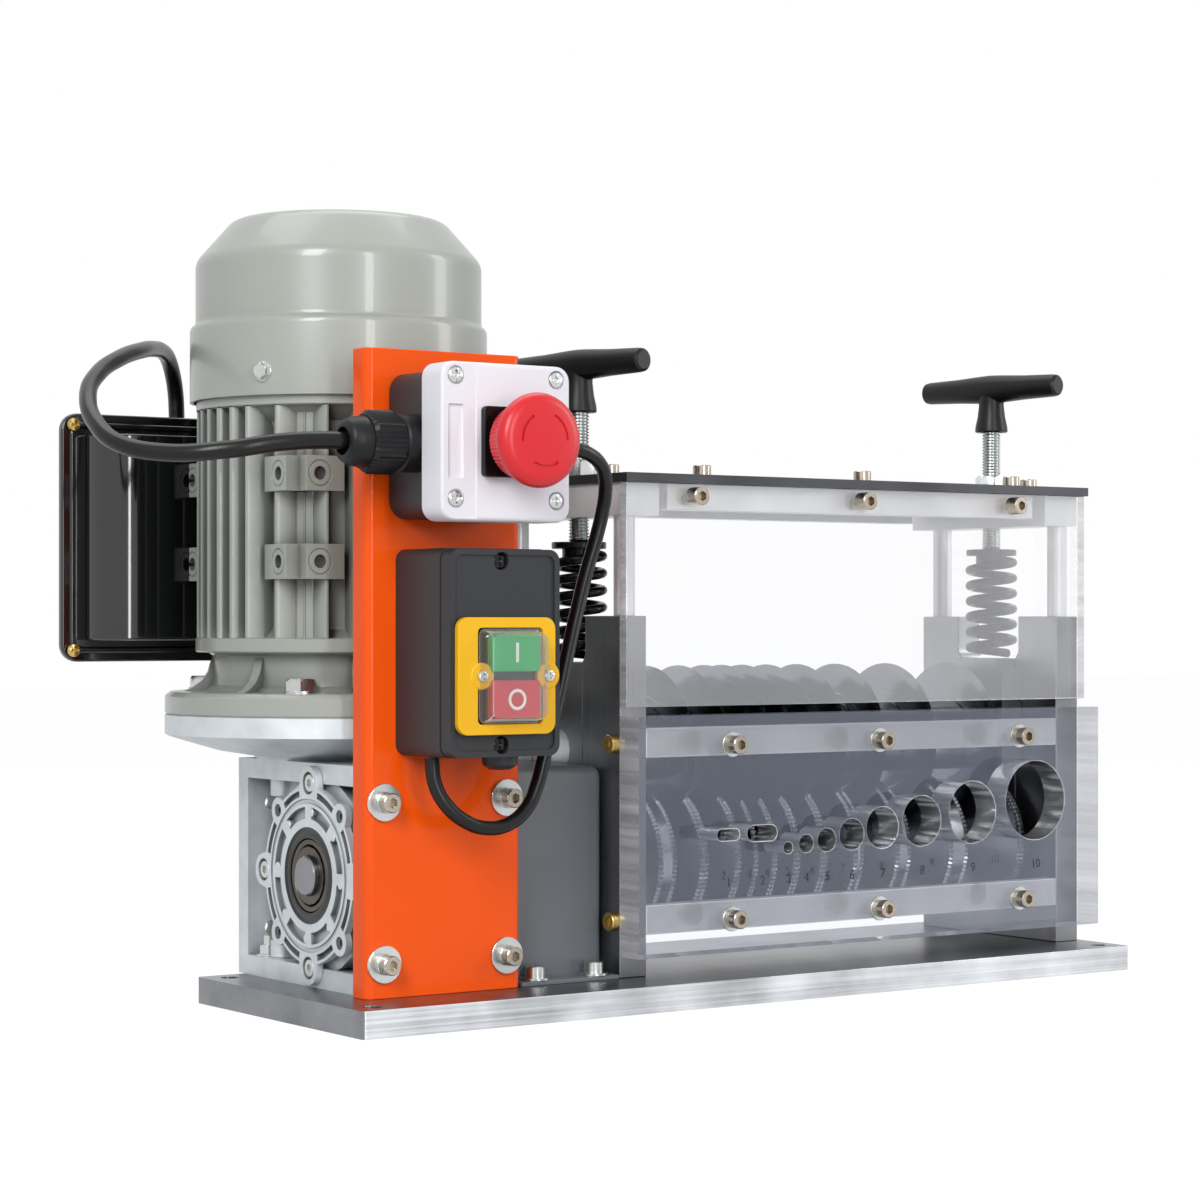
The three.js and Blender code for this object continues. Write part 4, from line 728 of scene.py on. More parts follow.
# Shaft seal: a black lip seal of nitrile rubber in the cover, on the blued steel sleeve of
# the hollow shaft
# Nitrile rubber: near black and dull
nitrile = moulded("nitrile_rubber", "black_plastic", "141518", 0.4, 1.0, 0.05)
finish_piece(turn([(16.7, 0.5), (18, 0.1), (19.6, 0.7), (20.6, 0.7), (21.4, 0.1), (21.4, 1.3),
                   (19.1, 1.3), (16.7, 3), (16.7, 0.5)], cover_centre, RIGHT, 64),
             "shaft_seal", nitrile)
# Blued steel: a dark brownish grey with a soft sheen
blued_steel = ground_metal("blued_steel", "steel", "5E5851", 0.3, 0, 0.5, streak=0.3)
finish_piece(turn([(13.3, 1.6), (14, 0.8), (16, 0.8), (16.7, 1.6), (16.7, 3), (13.3, 3),
                   (13.3, 1.6)], cover_centre, RIGHT, 64), "shaft_seal_sleeve", blued_steel)


# Worm wheel on its hollow shaft: a toothed rim on a bored steel hub that turns the feed
# shaft; only the dark end of the hub shows, inside the seal
def coat_node(node, finish):
    """Gives a CAD node that stays in view a new finish"""
    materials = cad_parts[node].data.materials
    materials.clear()
    materials.append(finish)


coat_node("worm_wheel", blued_steel)


# Input flange and motor end shield: the cast cone under the motor and the painted shield
# above it, bolted together through round flanges of 160 mm, with eight gussets
# Machine enamel: warm mid grey with a light gloss, and painted shade that darkens it between
# the fins
motor_enamel = sprayed("motor_enamel", "motor_paint", "A1A59E", 0.3, 2.6, 0.07, coat=0.25,
                       painted_hollow_shade=(16, 0.25))
motor_y = 124
flange_foot, flange_step, flange_top, flange_radius = 112, 122.8, 132.8, 80
motor_centre = (gear_x, motor_y, 0)
finish_piece(turn([
    (12, flange_foot), (38, flange_foot), (39.5, flange_foot + 1.5),
    (56, flange_foot + 4.2), (73, flange_step - 1.6), (78, flange_step),
    (flange_radius, flange_step + 1), (flange_radius, flange_top - 0.4), (79.6, flange_top),
    (12, flange_top), (12, flange_foot),
], motor_centre, UP, 96), "input_flange_cast", cast_aluminium, "input_flange")

shield_step, shield_waist, shield_ring, shield_top = 143.2, 150, 161.2, 167.7
shield_parts = [turn([
    (8, flange_top), (79.2, flange_top), (flange_radius, flange_top + 0.8),
    (flange_radius, shield_step - 2.2), (79.4, shield_step - 1.4), (77.5, shield_step),
    (62, shield_step + 0.6), (58.6, shield_step + 3), (58, shield_waist),
    (58.3, shield_ring - 1.5), (60, shield_ring - 0.3), (65.4, shield_ring),
    (66, shield_ring + 0.6), (66, shield_top - 0.5), (65.5, shield_top), (8, shield_top),
    (8, flange_top),
], motor_centre, UP, 96)]
gusset = [(56, shield_step - 0.5), (73.5, shield_step - 0.5), (68, shield_step + 1.6),
          (63.5, shield_step + 4.6), (60.6, shield_step + 9), (58.6, shield_ring - 2.5),
          (56, shield_ring - 2.5)]


def round_motor(angle):
    """A turn about the motor's axis, for a shape made in front of the axis"""
    return Matrix.Translation(motor_centre) @ Matrix.Rotation(angle, 4, "Z")


for rib in range(8):
    upright = round_motor((rib + 0.5) * eighth) @ Matrix.Rotation(math.pi / 2, 4, "X")
    shield_parts.append(prism(gusset, -2.2, 2.2, upright))
finish_piece(shield_parts, "end_shield_cast", motor_enamel, "motor_end_shield", sharp=30)


def hex_bolt(centre, along, across, height):
    """A hexagon head with a chamfered top"""
    reach = across / 2 / math.cos(math.pi / 6)
    bm = turn([(0, 0), (reach, 0), (reach, 0.8 * height), (0.46 * across, height),
               (0, height)], centre, along, 36)
    shape_rings(bm, centre, along, 0.95 * reach, 1.05 * reach, hexagon(across / 2))
    return bm


flange_bolts = []
bolt_pitch = 65
for corner in range(4):
    angle = (2 * corner + 1) * eighth
    x = gear_x + bolt_pitch * math.cos(angle)
    y = motor_y + bolt_pitch * math.sin(angle)
    flange_bolts.append(washer((x, y, shield_step - 0.2), UP, 7.5, 4.1, 1.5))
    flange_bolts.append(hex_bolt((x, y, shield_step + 1.3), UP, 12.8, 5.4))
finish_piece(flange_bolts, "flange_bolts", zinc_plate)


# Motor frame: a die-cast aluminium tube sprayed grey, over the wound stator. Each of its four
# sides has parallel upright fins, with drilled pads for feet at the corners
fin_foot, fin_top, frame_top = 167.7, 271.8, 280.7
core_radius, fin_reach, fin_pitch, rail_offset = 54, 66, 9.3, 36.9
pad_face, pad_inner, pad_outer, pad_hole, pad_half = 54.8, 28.8, 48, 41.1, 7.8
pad_levels = (201.7, 240.7)
box_side = 1
frame_parts = [turn([
    (34, fin_foot), (58, fin_foot), (54.4, fin_foot + 4), (core_radius, fin_foot + 6),
    (core_radius, fin_top - 10), (55, fin_top - 7), (62, fin_top - 1), (64.8, fin_top - 0.6),
    (65.6, fin_top), (65.6, frame_top), (8, frame_top), (8, fin_top), (34, fin_top),
    (34, fin_foot),
], motor_centre, UP, 96)]
pad_thread_shading = []
for side in range(4):
    facing = round_motor(side * math.pi / 2)
    offsets = [(fin - 2.5) * fin_pitch for fin in range(6)] + [-rail_offset, rail_offset]
    for offset in offsets:
        tip = math.sqrt(fin_reach ** 2 - (abs(offset) + 1.3) ** 2)
        fin = [(40, offset - 1.7), (tip - 1, offset - 1.15), (tip, offset - 0.6),
               (tip, offset + 0.6), (tip - 1, offset + 1.15), (40, offset + 1.7)]
        frame_parts.append(prism(fin, fin_foot, fin_top - 0.6, facing))
    corner = facing @ Matrix.Rotation(eighth, 4, "Z")
    frame_parts.append(moved(block((40, -4.5, fin_foot), (59, 4.5, fin_top), 1.5), corner))
    frame_parts.append(moved(block((58, -0.35, fin_foot), (59.5, 0.35, fin_top)), corner))
    for level in pad_levels:
        for across in (-1, 1):
            if side == box_side and across == 1:
                continue
            near, far = sorted((across * pad_inner, across * pad_outer))
            pad = block((40, near, level - pad_half), (pad_face, far, level + pad_half))
            seat = (pad_face, across * pad_hole, level)
            carve(pad, rod(3, -9, 1, seat, RIGHT, 32),
                  ring(5.3, 5.9, -0.4, 1, seat, RIGHT, 32))
            frame_parts.append(moved(pad, facing))
            # A dull dark disc in each hole: the threads, and painted shade in the hole
            pad_thread_shading.append(moved(rod(3, -2.8, -2.3, seat, RIGHT, 24), facing))
frame_parts.append(block((41, motor_y + 50, 189), (57, 190, 239), 2.0))
finish_piece(frame_parts, "motor_frame_cast", motor_enamel, "motor_frame", edge=0.35, sharp=30)
finish_piece(pad_thread_shading, "motor_pad_thread_shading", threads_and_hole_shade)


# Rotor, worm and fan: a steel shaft with a pressed fan; only the fan shows, through the
# cowl's slots
# Turned steel: light grey and fairly bright
turned_steel = ground_metal("turned_steel", "steel", "B2B4B8", 0.2, 0, 0.4, streak=0.25)
coat_node("motor_rotor", turned_steel)


# Fan cowl: drawn steel sheet with a stepped skirt and a sloped shoulder, sprayed grey,
# slotted on top for the fan's air and held by screws through its skirt
def smooth_bend(start, corner, end, steps):
    """Points on a rounded bend from start to end past a corner"""
    start, corner, end = Vector(start), Vector(corner), Vector(end)
    shares = [k / steps for k in range(steps + 1)]
    points = [start * (1 - t) ** 2 + corner * 2 * t * (1 - t) + end * t ** 2 for t in shares]
    return [tuple(point) for point in points]


cowl_foot, cowl_step, cowl_shoulder, cowl_crown, cowl_top = 275.7, 309.7, 338.7, 346.7, 362.2
skirt, neck, cowl_wall = 68.6, 66, 1.5
cowl_outside = (
    [(skirt, cowl_foot), (skirt, cowl_step - 2)]
    + smooth_bend((skirt, cowl_step - 2), (skirt, cowl_step), (neck + 1.2, cowl_step + 1), 4)
    + smooth_bend((neck + 1.2, cowl_step + 1), (neck, cowl_step + 1.5),
                  (neck, cowl_step + 3.5), 4)
    + smooth_bend((neck, cowl_shoulder - 2), (neck, cowl_shoulder + 1.5),
                  (neck - 2, cowl_shoulder + 3.8), 6)
    + smooth_bend((51.2, cowl_top - 5.2), (49.2, cowl_top - 2.9), (46, cowl_top - 2.2), 6)
    + smooth_bend((36, cowl_top - 0.9), (20, cowl_top - 0.3), (2, cowl_top - 0.1), 4)
    + [(0, cowl_top - 0.1)]
)
cowl_inside = [(max(radius - cowl_wall, 0), rise - (cowl_wall if radius < neck else 0))
               for radius, rise in reversed(cowl_outside)]
cowl = turn(cowl_outside + cowl_inside + [cowl_outside[0]], motor_centre, UP, 96)
carve(cowl, *[moved(block((14, -1.6, cowl_crown), (40, 1.6, cowl_top + 5), 1.5),
                    round_motor(slot * math.pi / 6)) for slot in range(12)])
finish_piece(cowl, "fan_cowl_drawn", motor_enamel, "fan_cowl")

cowl_screws = []
cowl_washer = 1.2
for corner in range(4):
    angle = math.radians(210.7) + corner * math.pi / 2
    direction = (math.cos(angle), math.sin(angle), 0)
    seat = (gear_x + (skirt - 0.6) * direction[0], motor_y + (skirt - 0.6) * direction[1], 286)
    cowl_screws.append(washer(seat, direction, 4.4, 2, cowl_washer))
    seat = tuple(seat[i] + cowl_washer * direction[i] for i in range(3))
    cowl_screws.append(hex_bolt(seat, direction, 6.6, 2.6))
finish_piece(cowl_screws, "cowl_screws", zinc_plate)


# Capacitor box: a gloss black pressed cover with a deep rounded tub and a raised rim, on a
# shallow shell behind the motor, held by brassy screws at its corners
def cross_screw(centre, along, radius, height):
    """A pan head with a cross recess"""
    reach, half = 0.62 * radius, 0.17 * radius
    bm = turn([(0, 0.35 * height), (0.3 * radius, 0.35 * height), (reach, height * 0.93),
               (0.85 * radius, 0.8 * height), (radius, 0.35 * height), (radius, 0), (0, 0)],
              centre, along, 48)

    def cross(angle, radius_here):
        side = min(abs(math.sin(angle)), abs(math.cos(angle)))
        return min(radius_here, half / max(side, 0.01))

    shape_rings(bm, centre, along, 0.2 * radius, 1.02 * reach, cross)
    return bm


# Stoved enamel: deep black and smooth, so that it mirrors the lamps
black_enamel = sprayed("black_enamel", "black_paint", "0B0C0E", 0.1, 5.0, 0.05, coat=0.6)
box_left, box_right, box_bottom, box_top = -49, 61, 156.5, 271.5
box_front, box_back, box_rear = 190, 194, 222
tub_left, tub_front, tub_right = -39, 168, 33
cover_plate = block((box_left, box_front, box_bottom), (box_right, box_back, box_top),
                    8, 1, 8)
cover_rim = block((box_left + 4, box_front - 1.2, box_bottom + 4),
                  (box_right - 4, box_front + 1, box_top - 4), 6, 1, 8)
carve(cover_rim, block((box_left + 7, box_front - 3, box_bottom + 7),
                       (box_right - 7, box_front + 3, box_top - 7), 4, 1, 8))
tub = block((tub_left, tub_front, box_bottom + 10), (tub_right, box_front + 1, box_top - 10))
round_edges(tub, [edge for edge in tub.edges
                  if all(vert.co.y < tub_front + 1 for vert in edge.verts)
                  and abs(edge.verts[0].co.z - edge.verts[1].co.z) > 1], 19, 12)
finish_piece([cover_plate, cover_rim, tub], "capacitor_cover_pressed", black_enamel,
             "capacitor_cover", edge=1.4, sharp=45)
finish_piece(block((box_left + 18, box_back, box_bottom + 3),
                   (box_right - 18, box_rear, box_top - 3), 8, 1, 8),
             "capacitor_shell", black_enamel, "capacitor_base", edge=2.0)
# Yellow-passivated zinc: a soft gold
brassy_zinc = ground_metal("brassy_zinc", "bronze", "C6A866", 0.3, 2, 0.6, streak=0.2)
finish_piece([cross_screw((x, box_front - 1, z), FRONT, 3.2, 2.2)
              for x in (box_left + 5.5, box_right - 5.5)
              for z in (box_bottom + 5.5, box_top - 5.5)],
             "capacitor_cover_screws", brassy_zinc)


# Emergency stop: a dark grey box under a deep pale lid with a stepped face, a square
# collar, a black stem and a red mushroom knob that turns to release
# Moulded ABS: a satin off-white lid on a duller dark grey box
pale_abs = moulded("pale_abs", "pale_plastic", "E6E5EC", 0.36, 1.6, 0.05)
dark_abs = moulded("dark_abs", "grey_plastic", "2E3033", 0.45, 1.6, 0.14, specular=0.3)
stop_left, stop_right, stop_bottom, stop_top, stop_back = 31, 87, 219.5, 282.5, 31
lid_left, lid_right, lid_bottom, lid_top = 26, 91, 217.5, 284.5
lid_face, lid_back, lid_step, step_depth = -21, -4.6, 43, 0.5
label_x, label_half_width, label_half, label_depth = 33, 3.8, 15.5, 1.6
well_radius, well_depth = 4.1, 1.4
stop_x = 60
stop_centre = (stop_x, 0, stop_axis_z)
finish_piece(block((stop_left, lid_back, stop_bottom), (stop_right, stop_back, stop_top),
                   8, 1, 6), "stop_box_moulded", dark_abs, "stop_box_base", edge=0.8)
lid = block((lid_left, lid_face, lid_bottom), (lid_right, lid_back, lid_top), 6.5, 1, 8)
round_edges(lid, [edge for edge in lid.edges
                  if all(vert.co.y < lid_face + 0.01 for vert in edge.verts)], 2.2, 5)
carve(lid, block((lid_left - 2, lid_face - 2, lid_bottom - 2),
                 (lid_step, lid_face + step_depth, lid_top + 2)))
lid_screw_places = [(x, z) for x in (33, 83.5) for z in (226.8, 278.6)]
label_recess = block((label_x - label_half_width, lid_face - 2, stop_axis_z - label_half),
                     (label_x + label_half_width, lid_face + label_depth,
                      stop_axis_z + label_half), 0.8, 1, 3)
carve(lid, label_recess, *[rod(well_radius, -2, well_depth, (x, lid_face, z), BACK, 32)
                           for x, z in lid_screw_places])
finish_piece(lid, "stop_lid_moulded", pale_abs, "stop_box_lid", edge=0.4)
finish_piece([cross_screw((x, lid_face + well_depth, z), FRONT, 3.6, 1.5)
              for x, z in lid_screw_places], "stop_lid_screws", zinc_plate)

# Polished black ABS: small, clear highlights
gloss_black = moulded("gloss_black_abs", "black_plastic", "0E0F11", 0.2, 2.0, 0.02,
                      specular=0.3)
finish_piece(block((stop_x - 15, -24, stop_axis_z - 15), (stop_x + 15, lid_face,
                   stop_axis_z + 15), 2, 1, 4),
             "stop_collar_moulded", gloss_black, "stop_collar", edge=0.5)
finish_piece(turn([(0, -34.3), (6.6, -34.3), (7, -33.9), (7, -24.6), (6.4, -24.2),
                   (6.4, -3.4), (6, -3), (0, -3)], stop_centre, BACK),
             "stop_stem_turned", gloss_black, "stop_stem", body="stop_plunger")
# Red ABS: a satin face with a soft highlight round its rim
red_abs = moulded("red_abs", "red_plastic", "D41C26", 0.34, 2.0, 0.02)
knob_face, knob_neck, knob_back = -47.8, -32.8, -28.3
knob = turn(
    [(0, knob_face), (9, knob_face + 0.15)]
    + smooth_bend((15.2, knob_face + 0.6), (19.2, knob_face + 1.2), (20, knob_face + 5), 6)
    + smooth_bend((20, knob_face + 6), (20, knob_face + 8), (18.4, knob_face + 9.2), 3)
    + smooth_bend((17.6, knob_face + 9.8), (16.6, knob_neck - 4), (16.4, knob_neck), 3)
    + [(15.8, knob_neck + 0.6), (15.6, knob_back - 0.5), (15, knob_back),
       (7.4, knob_back), (7.4, knob_back - 5), (0, knob_back - 5)],
    stop_centre, BACK, 120)
shape_rings(knob, stop_centre, BACK, 15.5, 18.5,
            lambda angle, radius: radius + 0.18 * math.cos(60 * angle))
arc_half, arc_grooves = 0.62, []
for third in range(3):
    groove = ring(10.6, 11.8, knob_face - 2, knob_face + 1.1, stop_centre, BACK, 72)
    middle = third * math.tau / 3 + 0.6
    spare = [vert for vert in groove.verts
             if math.cos(math.atan2(vert.co.z - stop_axis_z, vert.co.x - stop_x) - middle)
             < math.cos(arc_half)]
    bmesh.ops.delete(groove, geom=spare, context="VERTS")
    bmesh.ops.holes_fill(groove, edges=[edge for edge in groove.edges if edge.is_boundary])
    arc_grooves.append(groove)
carve(knob, *arc_grooves)
finish_piece(knob, "stop_knob_moulded", red_abs, "stop_mushroom", body="stop_knob", sharp=30)


# Switch box: dark grey ABS with rounded corners and a raised rim, held by two screws sunk
# in its lid, with a plug in the spare cable hole of its floor
switch_left, switch_right, switch_bottom, switch_top = 34.5, 91, 117, 206.5
switch_face, switch_rim, switch_well = -13, 3, 3.6
switch_screw_places = [(61, switch_bottom + 5.5), (61, switch_top - 5.5)]
switch_body = block((switch_left, -5, switch_bottom),
                    (switch_right, bracket_front, switch_top), 5, 1, 6)
switch_lid = block((switch_left + 0.4, switch_face, switch_bottom + 0.4),
                   (switch_right - 0.4, -5.4, switch_top - 0.4), 5, 1, 6)
carve(switch_lid, block((switch_left + switch_rim, switch_face - 2, switch_bottom + switch_rim),
                        (switch_right - switch_rim, switch_face + 0.9, switch_top - switch_rim),
                        3.5, 1, 5))
carve(switch_lid, *[rod(3.9, -2, switch_well, (x, switch_face, z), BACK, 28)
                    for x, z in switch_screw_places])
finish_piece([switch_body, switch_lid], "switch_box_moulded", dark_abs, "switch_box", edge=0.7)
finish_piece(turn([(0, 111), (4.8, 111.5), (7.6, 113.4), (8, 117.3), (0, 117.3)],
                  (68.4, 0.2, 0), UP, 40), "switch_blanking_plug", dark_abs)


# Switch frame: a yellow ABS frame with two ears, screwed to the lid, round a black well in
# which the keys stand
# Yellow ABS: a warm colour with a gentle gloss
yellow_abs = moulded("yellow_abs", "yellow_plastic", "F3B91A", 0.3, 1.6, 0.04, specular=0.35)
switch_axis_z = 152
frame_plate = block((37, -16, 127), (86.5, switch_face, 177), 5, 1, 6)
carve(frame_plate, block((47, -20, 131.5), (80, -10, 172.5), 2, 1, 4))
ear_places = (48.8, 82.6)
ears = [turn([(0, -16.6), (5.2, -16.6), (5.8, -16.1), (5.8, switch_face), (0, switch_face)],
             (x, 0, switch_axis_z), BACK, 36) for x in ear_places]
finish_piece([frame_plate] + ears, "switch_frame_moulded", yellow_abs, "switch_frame", edge=0.5)
finish_piece([cross_screw((x, switch_face + switch_well - 0.2, z), FRONT, 3.6, 1.4)
              for x, z in switch_screw_places], "switch_box_screws", gloss_black)
finish_piece([cross_screw((x, -16.5, switch_axis_z), FRONT, 2.7, 1.5) for x in ear_places],
             "switch_frame_screws", zinc_plate)
finish_piece(block((48, -14.4, 132.2), (79, -13.4, 171.8), 2, 1, 4), "switch_key_surround",
             gloss_black)


# Switch keys: glossy green and red ABS keys with moulded white signs, a bar for on and a
# ring for off
# Glossy ABS: strong clean colours that show through the boot
green_abs = moulded("green_abs", "green_plastic", "17A95C", 0.25, 2.0, 0.02, specular=0.35)
key_red_abs = moulded("key_red_abs", "stop_plastic", "CC1830", 0.25, 2.0, 0.02, specular=0.35)
white_abs = moulded("white_abs", "pale_plastic", "F2F0EE", 0.3, 2.0, 0.02)
key_left, key_right, key_front, key_back, key_height = 52.8, 76.8, -19, -4, 16.5
key_x = (key_left + key_right) / 2
sign_proud, sign_depth = 0.15, 0.4
for key, low, finish in (("start", 153.75, green_abs), ("stop", 133.75, key_red_abs)):
    cap = block((key_left, key_front, low), (key_right, key_back, low + key_height), 1.2, 1, 3)
    finish_piece(cap, key + "_key_moulded", finish, key + "_button", body=key + "_key",
                 edge=0.9)
    middle_z = low + key_height / 2
    if key == "stop":
        sign = ring(3.2, 4.5, -sign_proud, sign_depth, (key_x, key_front, middle_z), BACK, 40)
    else:
        sign = block((key_x - 0.7, key_front - sign_proud, middle_z - 4.2),
                     (key_x + 0.7, key_front + sign_depth, middle_z + 4.2), 0.4, 1, 3)
    finish_piece(sign, key + "_key_sign", white_abs, body=key + "_key")


# Clear boot over the keys: a soft transparent box of silicone with a sloped rim, held
# under the yellow frame
def clear_silicone():
    """Clear silicone: nearly colourless, glossy, with a faint wave"""
    material, tree, coordinates = start_material("clear_silicone", "clear_plastic")
    waves = add_node(tree, "TexNoise", {"Scale": 1 / (14 * MM), "Detail": 1.0},
                     Vector=coordinates)
    bump = add_node(tree, "Bump", {"Strength": 0.4, "Distance": 0.3 * MM},
                    Height=waves.outputs["Fac"])
    facing = add_node(tree, "LayerWeight", {"Blend": 0.35})
    cover = add_node(tree, "MapRange", {"To Min": 0.05, "To Max": 0.5},
                     Value=facing.outputs["Fresnel"])
    shader = add_node(tree, "BsdfPrincipled", {"Base Color": linear("EEF3F4"), "IOR": 1.45,
                                               "Roughness": 0.06, "Metallic": 0.8},
                      Alpha=cover.outputs[0], Normal=bump.outputs[0])
    add_node(tree, "OutputMaterial", Surface=shader.outputs[0])
    return material


boot_front, boot_wall = -24, 1.0
boot = block((47.3, boot_front, 131.8), (79.7, -16, 172.2), 3, 1, 6)
front_verts = {vert for face in boot.faces if face.normal.y < -0.9 for vert in face.verts}
bmesh.ops.scale(boot, vec=(0.86, 1, 0.88), verts=list(front_verts),
                space=Matrix.Translation(-Vector((63.5, boot_front, switch_axis_z))))
bmesh.ops.delete(boot, geom=[face for face in boot.faces if face.normal.y > 0.9],
                 context="FACES")
boot_piece = finish_piece(boot, "switch_boot_clear", clear_silicone(), "switch_boot", sharp=60)
wall = boot_piece.modifiers.new("wall", "SOLIDIFY")
wall.thickness = boot_wall * MM
wall.offset = -1


# Drive cover: a box bent from 2 mm sheet and sprayed grey, with a foot screwed to the base,
# over the shaft between gearbox and head
# Hammer paint: mid grey, its coarse peel breaks up the highlights
grey_hammer_paint = sprayed("grey_hammer_paint", "grey_paint", "686D72", 0.3, 3.2, 0.1,
                            coat=0.1)
hood_left, hood_right, hood_front, hood_back, hood_top = 100.6, 154.7, 47, 128, 109
hood_sheet, base_top = 2, 12
hood = block((hood_left, 45, base_top), (hood_right, hood_back, hood_top))
hood_bends = [edge for edge in hood.edges if all(vert.co.z > 20 for vert in edge.verts)]
hood_bends += [edge for edge in hood.edges
               if abs((edge.verts[0].co - edge.verts[1].co).z) > 1]
round_edges(hood, hood_bends, 5.5, 6)
carve(hood, block((hood_left + hood_sheet, hood_front, 0),
                  (hood_right - hood_sheet, hood_back - hood_sheet, hood_top - hood_sheet),
                  3, 2))
hood_foot = block((hood_left + 0.5, 32, base_top),
                  (hood_right - 0.5, hood_front + 2, base_top + hood_sheet))
finish_piece([hood, hood_foot], "drive_cover_bent", grey_hammer_paint, "drive_cover", edge=0.4)
foot_screws = []
for x in (112, 144):
    foot_screws.append(washer((x, 38, base_top + hood_sheet), UP, 6.5, 3, 1.2))
    foot_screws.append(socket_screw((x, 38, 15.2), UP, 4.4, 5, 4))
finish_piece(foot_screws, "drive_cover_screws", zinc_plate)


# Side plates: 15 mm ground steel, slotted from the top for the bearing blocks and bored
# for the feed shaft
def dress_copy(node, manner, finish, body=FRAME_BODY, edge=0.5):
    """A CAD node's own shape with a finish and broken edges, named for how it is made"""
    finish_piece(trimmed_copy(node), node + manner, finish, node, body=body, edge=edge)


# Ground steel: mid grey with fine upright streaks
upright_steel = ground_metal("upright_ground_steel", "steel", "8C8D90", 0.3, 2, 0.6,
                             streak=0.4)
dress_copy("left_side_plate", "_ground", upright_steel)
dress_copy("right_side_plate", "_ground", upright_steel)


# Feed roller: a hardened steel roller turned with ten channels and knurled on its lands,
# on the shaft that runs from the gearbox to the right side plate
roller_radius, roller_left, roller_right = 35, 189, 421
channel_places = [206.3, 226.1, 241.6, 252.4, 264.9, 280.2, 299.3, 324.2, 357.1, 399]
channel_widths = [13, 15, 7, 8, 9.5, 12, 16, 20, 25, 33]
channel_floor_radius, channel_floor = 12.5, 2.5
knurl_width, knurl_teeth, knurl_depth = 2.6, 100, 0.9
smooth_radius = roller_radius - 0.3
roller_profile = [(0, 19), (8.4, 19), (9, 19.6), (9, 100.5), (10, 100.5), (10, roller_left),
                  (roller_radius - 0.8, roller_left)]
land_starts = [roller_left] + [m + w / 2 for m, w in zip(channel_places, channel_widths)]
land_ends = [m - w / 2 for m, w in zip(channel_places, channel_widths)] + [roller_right]
for number, (start, end) in enumerate(zip(land_starts, land_ends)):
    width = min(knurl_width, (end - start) / 2 - 0.3)
    roller_profile += [(smooth_radius - 0.5, start + 0.1), (roller_radius, start + 0.3),
                       (roller_radius, start + width), (smooth_radius, start + width + 0.2),
                       (smooth_radius, end - width - 0.2), (roller_radius, end - width),
                       (roller_radius, end - 0.3), (smooth_radius - 0.5, end - 0.1)]
    if number < len(channel_places):
        middle = channel_places[number]
        roller_profile += [(channel_floor_radius, middle - channel_floor),
                           (channel_floor_radius, middle + channel_floor)]
shaft_radius, shaft_end = 10, 441
shaft_tip = [(shaft_radius, shaft_end - 0.4), (9.6, shaft_end), (0, shaft_end)]
roller_profile += [(roller_radius - 0.8, roller_right), (shaft_radius, roller_right)]
roller_axis = (0, shaft_y, shaft_z)
# Hardened steel: mid grey, smooth enough to mirror the white studio
hardened_steel = ground_metal("hardened_steel", "steel", "8C8E93", 0.2, 0, 0.4, streak=0.25)
roller = turn(roller_profile + shaft_tip, roller_axis, RIGHT, 2 * knurl_teeth)
shape_rings(roller, roller_axis, RIGHT, roller_radius - 0.05, roller_radius + 0.05,
            lambda angle, radius: radius - knurl_depth * (math.cos(knurl_teeth * angle) < 0))
finish_piece(roller, "feed_roller_turned", hardened_steel, "feed_roller", body="feed",
             sharp=25)


# Bearing blocks: ground steel blocks that slide in the side plates' slots and carry the
# blade shaft under the press springs
dress_copy("left_bearing_block", "_ground", upright_steel, "blade_carrier")
dress_copy("right_bearing_block", "_ground", upright_steel, "blade_carrier")


# Blade arbor: a ground shaft with spacers between ten round slitting blades, each a
# hardened disc with a bevelled, polished edge
# Polished tool steel: close to a mirror, its colour painted darker than the steel's own, as
# shade inside the head
polished_blade = ground_metal("polished_tool_steel", "blade_steel", "6E7177", 0.14, 0, 0.5,
                              streak=0.3)
blade_z, blade_radius, blade_half, blade_gap = 115, 39, 1.5, 1.8
arbor_axis = (0, shaft_y, blade_z)
spacer_start, spacer_end = 183.8, 413.2
arbor_profile = [(0, 156), (9.6, 156), (shaft_radius, 156.4), (shaft_radius, spacer_start)]
starts = [spacer_start] + [middle + blade_gap for middle in channel_places]
ends = [middle - blade_gap for middle in channel_places] + [spacer_end]
for start, end in zip(starts, ends):
    arbor_profile += [(shaft_radius, start), (15.6, start), (16, start + 0.4), (16, end - 0.4),
                      (15.6, end), (shaft_radius, end)]
finish_piece(turn(arbor_profile + shaft_tip, arbor_axis, RIGHT), "blade_shaft_turned",
             turned_steel, "blade_shaft", body="blade_arbor")
for number, middle in enumerate(channel_places, 1):
    half_disc = [(10.3, blade_half), (20, blade_half), (20.6, 1.1), (24, 1.1),
                 (24.6, blade_half), (34.6, blade_half), (35, 1.4)]
    disc = turn([(radius, -rise) for radius, rise in half_disc] + [(blade_radius, 0)]
                + half_disc[::-1] + [(10.3, -blade_half)],
                (middle, shaft_y, blade_z), RIGHT, 96)
    finish_piece(disc, f"blade_{number}_ground", polished_blade, f"blade_{number}",
                 body="blade_arbor", sharp=15)


# Press springs: black oxide wire round each press screw, between the bearing block and the
# collar, each drawn as two halves that meet at turn 4 of 6
# Black oxide: near black with a thin metallic sheen
black_oxide = sprayed("black_oxide_steel", "spring_steel", "17181A", 0.25, 1.2, 0.03,
                      metallic=0.6)
press_x = {"left": 167.5, "right": 429.5}
spring_low, spring_high, spring_radius, wire = 156.3, 209.2, 13.5, 4.5
still_turn, spring_turns, turn_steps = 4, 6, 30


